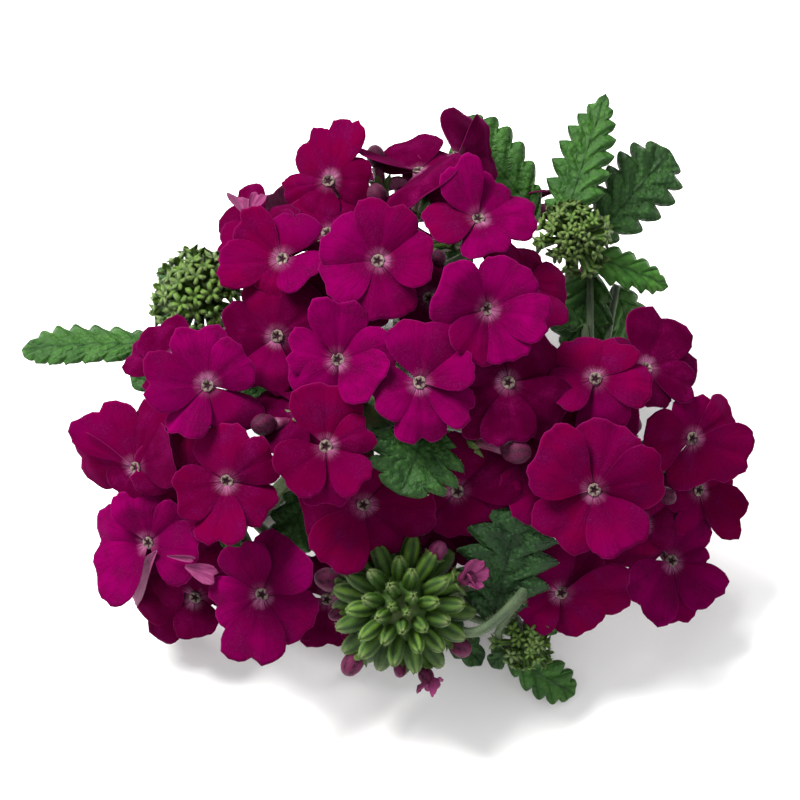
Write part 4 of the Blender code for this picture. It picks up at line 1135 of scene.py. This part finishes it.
def leaf_finish():
    """A leaf's upper side: painted shade in the veins' grooves and, on dull leaves, between fine blisters;
    its brightness is set leaf by leaf."""
    finish = Finish("leaf face", 0.42, specular=0.13)
    fade, times = finish.fade, finish.times
    groove, _, _, tone = finish.marks
    dull = finish.mix(fade(finish.cloud, 0.3, 0.7), (0.005, 0.018, 0.006), (0.012, 0.038, 0.011))
    bright = finish.mix(fade(finish.cloud, 0.3, 0.7), (0.026, 0.105, 0.008), (0.052, 0.165, 0.014))
    blisters = finish.node("TexVoronoi", {"Vector": finish.place(), "Scale": BLISTER_FINENESS})
    rough = times(fade(blisters.outputs["Distance"], 0.2, 0.75), finish.minus(0.9, tone))
    # Painted shade in the vein grooves and between the blisters, where the relief lies low.
    painted_shade = finish.maths("MAXIMUM", times(groove, 0.65), times(rough, 0.5))
    finish.paint(dull, (tone, bright), (painted_shade, (0.004, 0.013, 0.005)))
    relief = finish.minus(times(finish.grain, 0.5), times(rough, 0.6))
    finish.bump(finish.minus(relief, times(groove, 0.5)), 0.0005)
    return finish.done()


def leaf_back_finish():
    """A leaf's underside: paler, with raised pale veins."""
    finish = Finish("leaf back", 0.55)
    groove = finish.marks[0]
    finish.paint((0.036, 0.080, 0.026), (finish.times(groove, 0.7), (0.10, 0.15, 0.06)))
    finish.bump(finish.plus(finish.grain, groove), 0.0004, 0.8)
    return finish.done()


def calyx_finish():
    """A calyx: yellow-green ribs with painted shade between them and at the foot, pale panels on the ribs
    that are partly painted highlight, paler and browner at its teeth.
    """
    finish = Finish("calyx", 0.28, specular=0.28, grain_scale=1.5)
    fade, times = finish.fade, finish.times
    along, rib, tone, _ = finish.marks
    # between and foot are painted shade: between the ribs, and at the foot deep among the buds. The pale
    # panel on the ribs is partly the calyx's own colour and partly painted highlight.
    between, ribbed, pale_panel_and_highlight, foot = (
        (0.011, 0.034, 0.003), (0.023, 0.062, 0.005), (0.085, 0.165, 0.012), (0.004, 0.012, 0.003))
    point = finish.mix(tone, (0.12, 0.15, 0.050), (0.085, 0.160, 0.022))
    finish.paint(
        between,
        (fade(rib, 0.0, 0.75), ribbed),
        (times(tone, fade(rib, 0.35, 1.0), fade(finish.cloud, 0.3, 0.6)), pale_panel_and_highlight),
        (fade(along, 0.35, 0.0), foot),
        (times(fade(along, 0.80, 1.0), 0.7), point),
    )
    finish.bump(finish.grain, 0.0004, 0.9)
    return finish.done()


def stem_finish(name, lower, upper):
    """A stem: pale and dark green in lengthwise clouds."""
    finish = Finish(name, 0.5)
    finish.paint(lower, (finish.fade(finish.cloud, 0.3, 0.7), upper))
    finish.bump(finish.grain, 0.0004, 0.8)
    return finish.done()


def hair_finish():
    """Fine whitish green hairs."""
    finish = Finish("hair", 0.4)
    finish.paint((0.15, 0.19, 0.10))
    return finish.done()


PETAL, PETAL_BACK, EYE, TUBE = petal_finish(), petal_back_finish(), eye_finish(), tube_finish()
# fold: painted shade in the corolla's folds.
CLOSED_BUD = closed_bud_finish(
    "mauve corolla", fold=(0.018, 0, 0.007), ridge=(0.080, 0.005, 0.034), dust=(0.125, 0.028, 0.075))
YOUNG_BUD = closed_bud_finish(
    "young corolla", fold=(0.014, 0, 0.005), ridge=(0.046, 0, 0.018), dust=(0.060, 0.004, 0.026))
LEAF, LEAF_BACK, CALYX, HAIR = leaf_finish(), leaf_back_finish(), calyx_finish(), hair_finish()
SHOOT = stem_finish("shoot stem", (0.014, 0.034, 0.008), (0.036, 0.066, 0.016))
TRAILING = stem_finish("trailing stem", (0.045, 0.070, 0.024), (0.080, 0.115, 0.040))


# The pieces


def dress_heads():
    """The four flower heads: petals with their eyes, then tubes and loose buds, then calyces."""
    florets = floret_table()
    layout = lobe_layout(florets)
    bends = lobe_bends(florets, *layout[:2])
    for number, head in enumerate(FLORETS):
        node = f"florets_{head}"
        chosen = florets["head"] == number
        place, axes = florets["place"][chosen], florets["axes"][chosen]
        core, looks = head_core(head)
        petals = Mesh()
        add_florets(petals, florets, chosen, bends, layout)
        add_eyes(petals, place, axes)
        petals.build(f"petals_{head}", node, [PETAL, PETAL_BACK, EYE])
        buds = np.array([row[1:] for row in LOOSE_BUDS if row[0] == head])
        bud_place = np.array([on_dome(*bud[:3]) for bud in buds])
        bud_radius = buds[:, 3] * MM
        bud_normal = unit(bud_place - core)
        inner = Mesh()
        path = add_tubes(inner, place, axes, core, 0)
        add_tubes(inner, bud_place - bud_normal * bud_radius[:, None], axis_frames(bud_normal), core, 0)
        add_bulbs(inner, bud_place, bud_normal, bud_radius, BUD_STRETCH, kind=1)
        inner.build(f"tubes_{head}", node, [TUBE, YOUNG_BUD])
        green = Mesh()
        foot = np.concatenate([path[:, -2], np.tile(core, (len(buds), 1))])
        mouth = np.concatenate([path[:, CALYX_REACH], core + (bud_place - core) * 0.8])
        add_calyces(green, foot, mouth, 1.25 * MM, openness=0.8, tone=0.2, kinds=(0, 1), hairs_each=30,
                    hair_length=0.6 * MM)
        add_bulbs(green, core[None], looks[None], CORE_RADIUS, stretch=1.0, kind=0, folds=CORE_FOLDS)
        green.build(f"calyces_{head}", node, [CALYX, HAIR])


def dress_turned_lobes():
    """Folded petals: single lobes that face away, so that their pale backs show."""
    for head in ("left", "top"):
        rows = [row[1:] for row in TURNED_LOBES if row[0] == head]
        root, tip = (np.array([on_dome(*spot) for spot in spots]) for spots in list(zip(*rows))[:2])
        along = unit(tip - root)
        away = unit((along @ TOWARD)[:, None] * along - TOWARD)
        axes = np.stack([along, np.cross(away, along), away], 1)
        folds = petal_folds(len(rows), wildness=0.8)
        folds["lift"] *= 0.3
        lobes = Mesh()
        length = np.linalg.norm(tip - root, axis=1)
        fullness = [row[2] for row in rows]
        add_lobes(lobes, (0, 1), root, axes, 0, length, fullness, folds)
        lobes.build(f"folded_{head}", f"florets_{head}", [PETAL, PETAL_BACK])


def add_shoot(mesh, owner, top):
    """A shoot: its stalk from its foot on the trailing stems, up and over to its top, its leaves, leaf
    stalks, and hairs on the stalks."""
    width = STEM_WIDTH if owner in ON_MAIN_STEM else RUNNER_WIDTH
    foot = np.array([*SHOOT_FEET[owner], 0]) * MM + SLIDE
    foot[2] = width + STALK_RADIUS + JOINT_GAP
    stem, face, back, hair = range(4)
    path = bent_path(foot, top, rise=(top[2] - foot[2]) * 0.5, steps=28)
    stalk = add_stalk(mesh, path, STALK_RADIUS, squareness=3.0, kind=stem)
    add_fuzz(mesh, stalk, count=900, shortest=0.3, longest=0.8, kind=hair)
    for end in add_blades(mesh, owner, (face, back), hair):
        root = path[3:-2][np.linalg.norm(path[3:-2] - end, axis=1).argmin()]
        petiole = bent_path(root, end, rise=0.5 * MM, steps=12)
        taper = np.linspace(1.2, 0.9, len(petiole))
        stalk = add_stalk(mesh, petiole, taper * PETIOLE_RADIUS, squareness=2.2, kind=stem, sides=10)
        add_fuzz(mesh, stalk, count=150, shortest=0.2, longest=0.6, kind=hair)


def dress_shoots():
    """The leafy shoots under the four flower heads."""
    for head in FLORETS:
        core, looks = head_core(head)
        shoot = Mesh()
        add_shoot(shoot, head, core - looks * 5.5 * MM)
        shoot.build(f"leaves_{head}", f"leafy_shoot_{head}", [SHOOT, LEAF, LEAF_BACK, HAIR])


def dress_bud_heads():
    """The four heads of green buds with their leaves and stalks, and the front one's hairy stems."""
    for owner, row in BUD_HEADS.items():
        middle, lean_right, lean_up, count, core, longest, fattest, openness, smallest, brightness, fuzz = row
        place, normal = seen_at(*middle), facing(lean_right, lean_up)
        directions, share = bud_directions(normal, count)
        size = smallest + (1 - smallest) * np.sqrt(share)
        root = place + directions * core * 0.7 * MM
        tip = place + directions * (core + longest * size)[:, None] * MM
        tip += RNG.normal(0, BUD_SCATTER, tip.shape) * (1 + 1.4 * openness)
        tone = np.clip(RNG.normal(brightness, 0.2, count), 0, 1)
        width = fattest * size * MM
        buds = Mesh()
        add_calyces(buds, root, tip, width, openness, tone, kinds=(0, 1), hairs_each=40,
                    hair_length=fuzz * MM)
        add_bulbs(buds, place[None], normal[None], core * 1.02 * MM, stretch=1.0, kind=0, folds=CORE_FOLDS)
        if openness > 0.5:
            add_bulbs(buds, root + (tip - root) * 0.74, directions, width * 0.32, stretch=1.6, kind=0)
        buds.build(f"buds_{owner[4:]}", f"{owner}_shoot", [CALYX, HAIR])
        shoot = Mesh()
        add_shoot(shoot, owner, place)
        for joints, radius in LOOSE_STEMS if owner == "bud_front" else []:
            path = smooth_path([seen_at(*joint) for joint in joints], 40)
            stalk = add_stalk(shoot, path, radius * MM, squareness=2.6, kind=0)
            add_fuzz(shoot, stalk, count=500, shortest=0.25, longest=0.8, kind=3)
        shoot.build(f"leaves_{owner}", f"{owner}_shoot", [SHOOT, LEAF, LEAF_BACK, HAIR])


def dress_bud_tips():
    """Magenta corollas just showing round the front bud head: bulbs, and small stars where open."""
    tips = Mesh()
    middle = seen_at(*BUD_HEADS["bud_front"][0])
    place = np.array([seen_at(*row[:3]) for row in BUD_TIPS])
    radius = np.array([row[3] for row in BUD_TIPS]) * MM
    is_open = np.array([row[4] for row in BUD_TIPS])
    directions = unit(unit(place - middle) + 0.4 * TOWARD)
    bulb_radius = radius * np.where(is_open, 0.55, 0.9)
    add_bulbs(tips, place, directions, bulb_radius, BUD_STRETCH, kind=0, folds=0.22)
    owner = np.flatnonzero(is_open).repeat(LOBES)
    folds = petal_folds(len(owner), wildness=1.5)
    folds["lift"] += 0.85
    angle = np.tile(around(LOBES), is_open.sum())
    axes, size = axis_frames(directions[owner]), radius[owner] * 1.05
    add_lobes(tips, (1, 2), place[owner], axes, angle, size, fullness=0.95, folds=folds)
    foot, mouth = middle + (place - middle) * 0.45, place - directions * radius[:, None] * 0.6
    add_calyces(tips, foot, mouth, radius * 0.75, openness=0.7, tone=0.4, kinds=(3, 4), hairs_each=40,
                hair_length=0.7 * MM)
    tips.build("bud_tips", "bud_front_shoot", [CLOSED_BUD, PETAL_BACK, PETAL_BACK, CALYX, HAIR])


def dress_stems():
    """The main stem and its runners: rounded squares along smooth paths, lying on the table."""
    stems = Mesh()
    for route, width in [(MAIN_STEM, STEM_WIDTH)] + [(route, RUNNER_WIDTH) for route in RUNNERS.values()]:
        path = smooth_path([np.array([x, y, width / 2 / MM]) * MM + SLIDE for x, y in route], 60)
        stalk = add_stalk(stems, path, width / 2, squareness=7.0, kind=0, sides=24)
        add_fuzz(stems, stalk, count=1600, shortest=0.2, longest=0.7, kind=1, lowest=width * 0.3)
    stems.build("stems", "trailing_stems", [TRAILING, HAIR])


def area_light(name, place, target, size, power, colour):
    """A square soft light that looks at its target."""
    light = bpy.data.lights.new(name, "AREA")
    light.size, light.energy, light.color = size, power, colour
    lamp = put_in_scene(name, light)
    axes = axis_frames(unit(np.array(place) - np.array(target))[None])[0]
    lamp.matrix_world = Matrix.Translation(place) @ Matrix(axes.tolist()).transposed().to_4x4()


def set_stage():
    """A pale table, a soft light from above and behind, a fill from the front, and the camera."""
    mesh = bpy.data.meshes.new("table")
    corners = [(x * TABLE_REACH, y * TABLE_REACH, 0) for x, y in ((-1, -1), (1, -1), (1, 1), (-1, 1))]
    mesh.from_pydata(corners, [], [(0, 1, 2, 3)])
    white = bpy.data.materials.new("table white")
    white.use_nodes = True
    shader = white.node_tree.nodes["Principled BSDF"]
    shader.inputs["Base Color"].default_value = (0.92, 0.92, 0.92, 1)
    shader.inputs["Roughness"].default_value = 0.9
    mesh.materials.append(white)
    table = put_in_scene("table", mesh)
    area_light("key", KEY_PLACE, LIT_MIDDLE, KEY_SIZE, KEY_POWER, (1.0, 0.99, 0.97))
    area_light("fill", FILL_PLACE, LIT_MIDDLE, FILL_SIZE, FILL_POWER, (0.98, 0.99, 1.0))
    world = bpy.data.worlds.new("studio")
    world.use_nodes = True
    sky = world.node_tree.nodes["Background"]
    sky.inputs["Color"].default_value = (1, 1, 1, 1)
    sky.inputs["Strength"].default_value = SKY_STRENGTH
    bpy.context.scene.world = world
    bpy.context.scene.view_settings.view_transform = "Standard"
    camera = bpy.data.cameras.new("camera")
    camera.sensor_width = 36
    camera.lens = camera.sensor_width * SIGHT_DISTANCE / PHOTO_WIDTH_AT_TUFT
    camera.clip_start = 0.05
    holder = put_in_scene("camera", camera)
    holder.location = SIGHT_LIFT + SLIDE + TOWARD * SIGHT_DISTANCE
    holder.rotation_euler = (np.pi / 2 - SIGHT_ELEVATION, 0, 0)
    bpy.context.scene.camera = holder


dress_heads()
dress_shoots()
dress_bud_heads()
dress_bud_tips()
dress_stems()
dress_turned_lobes()
set_stage()
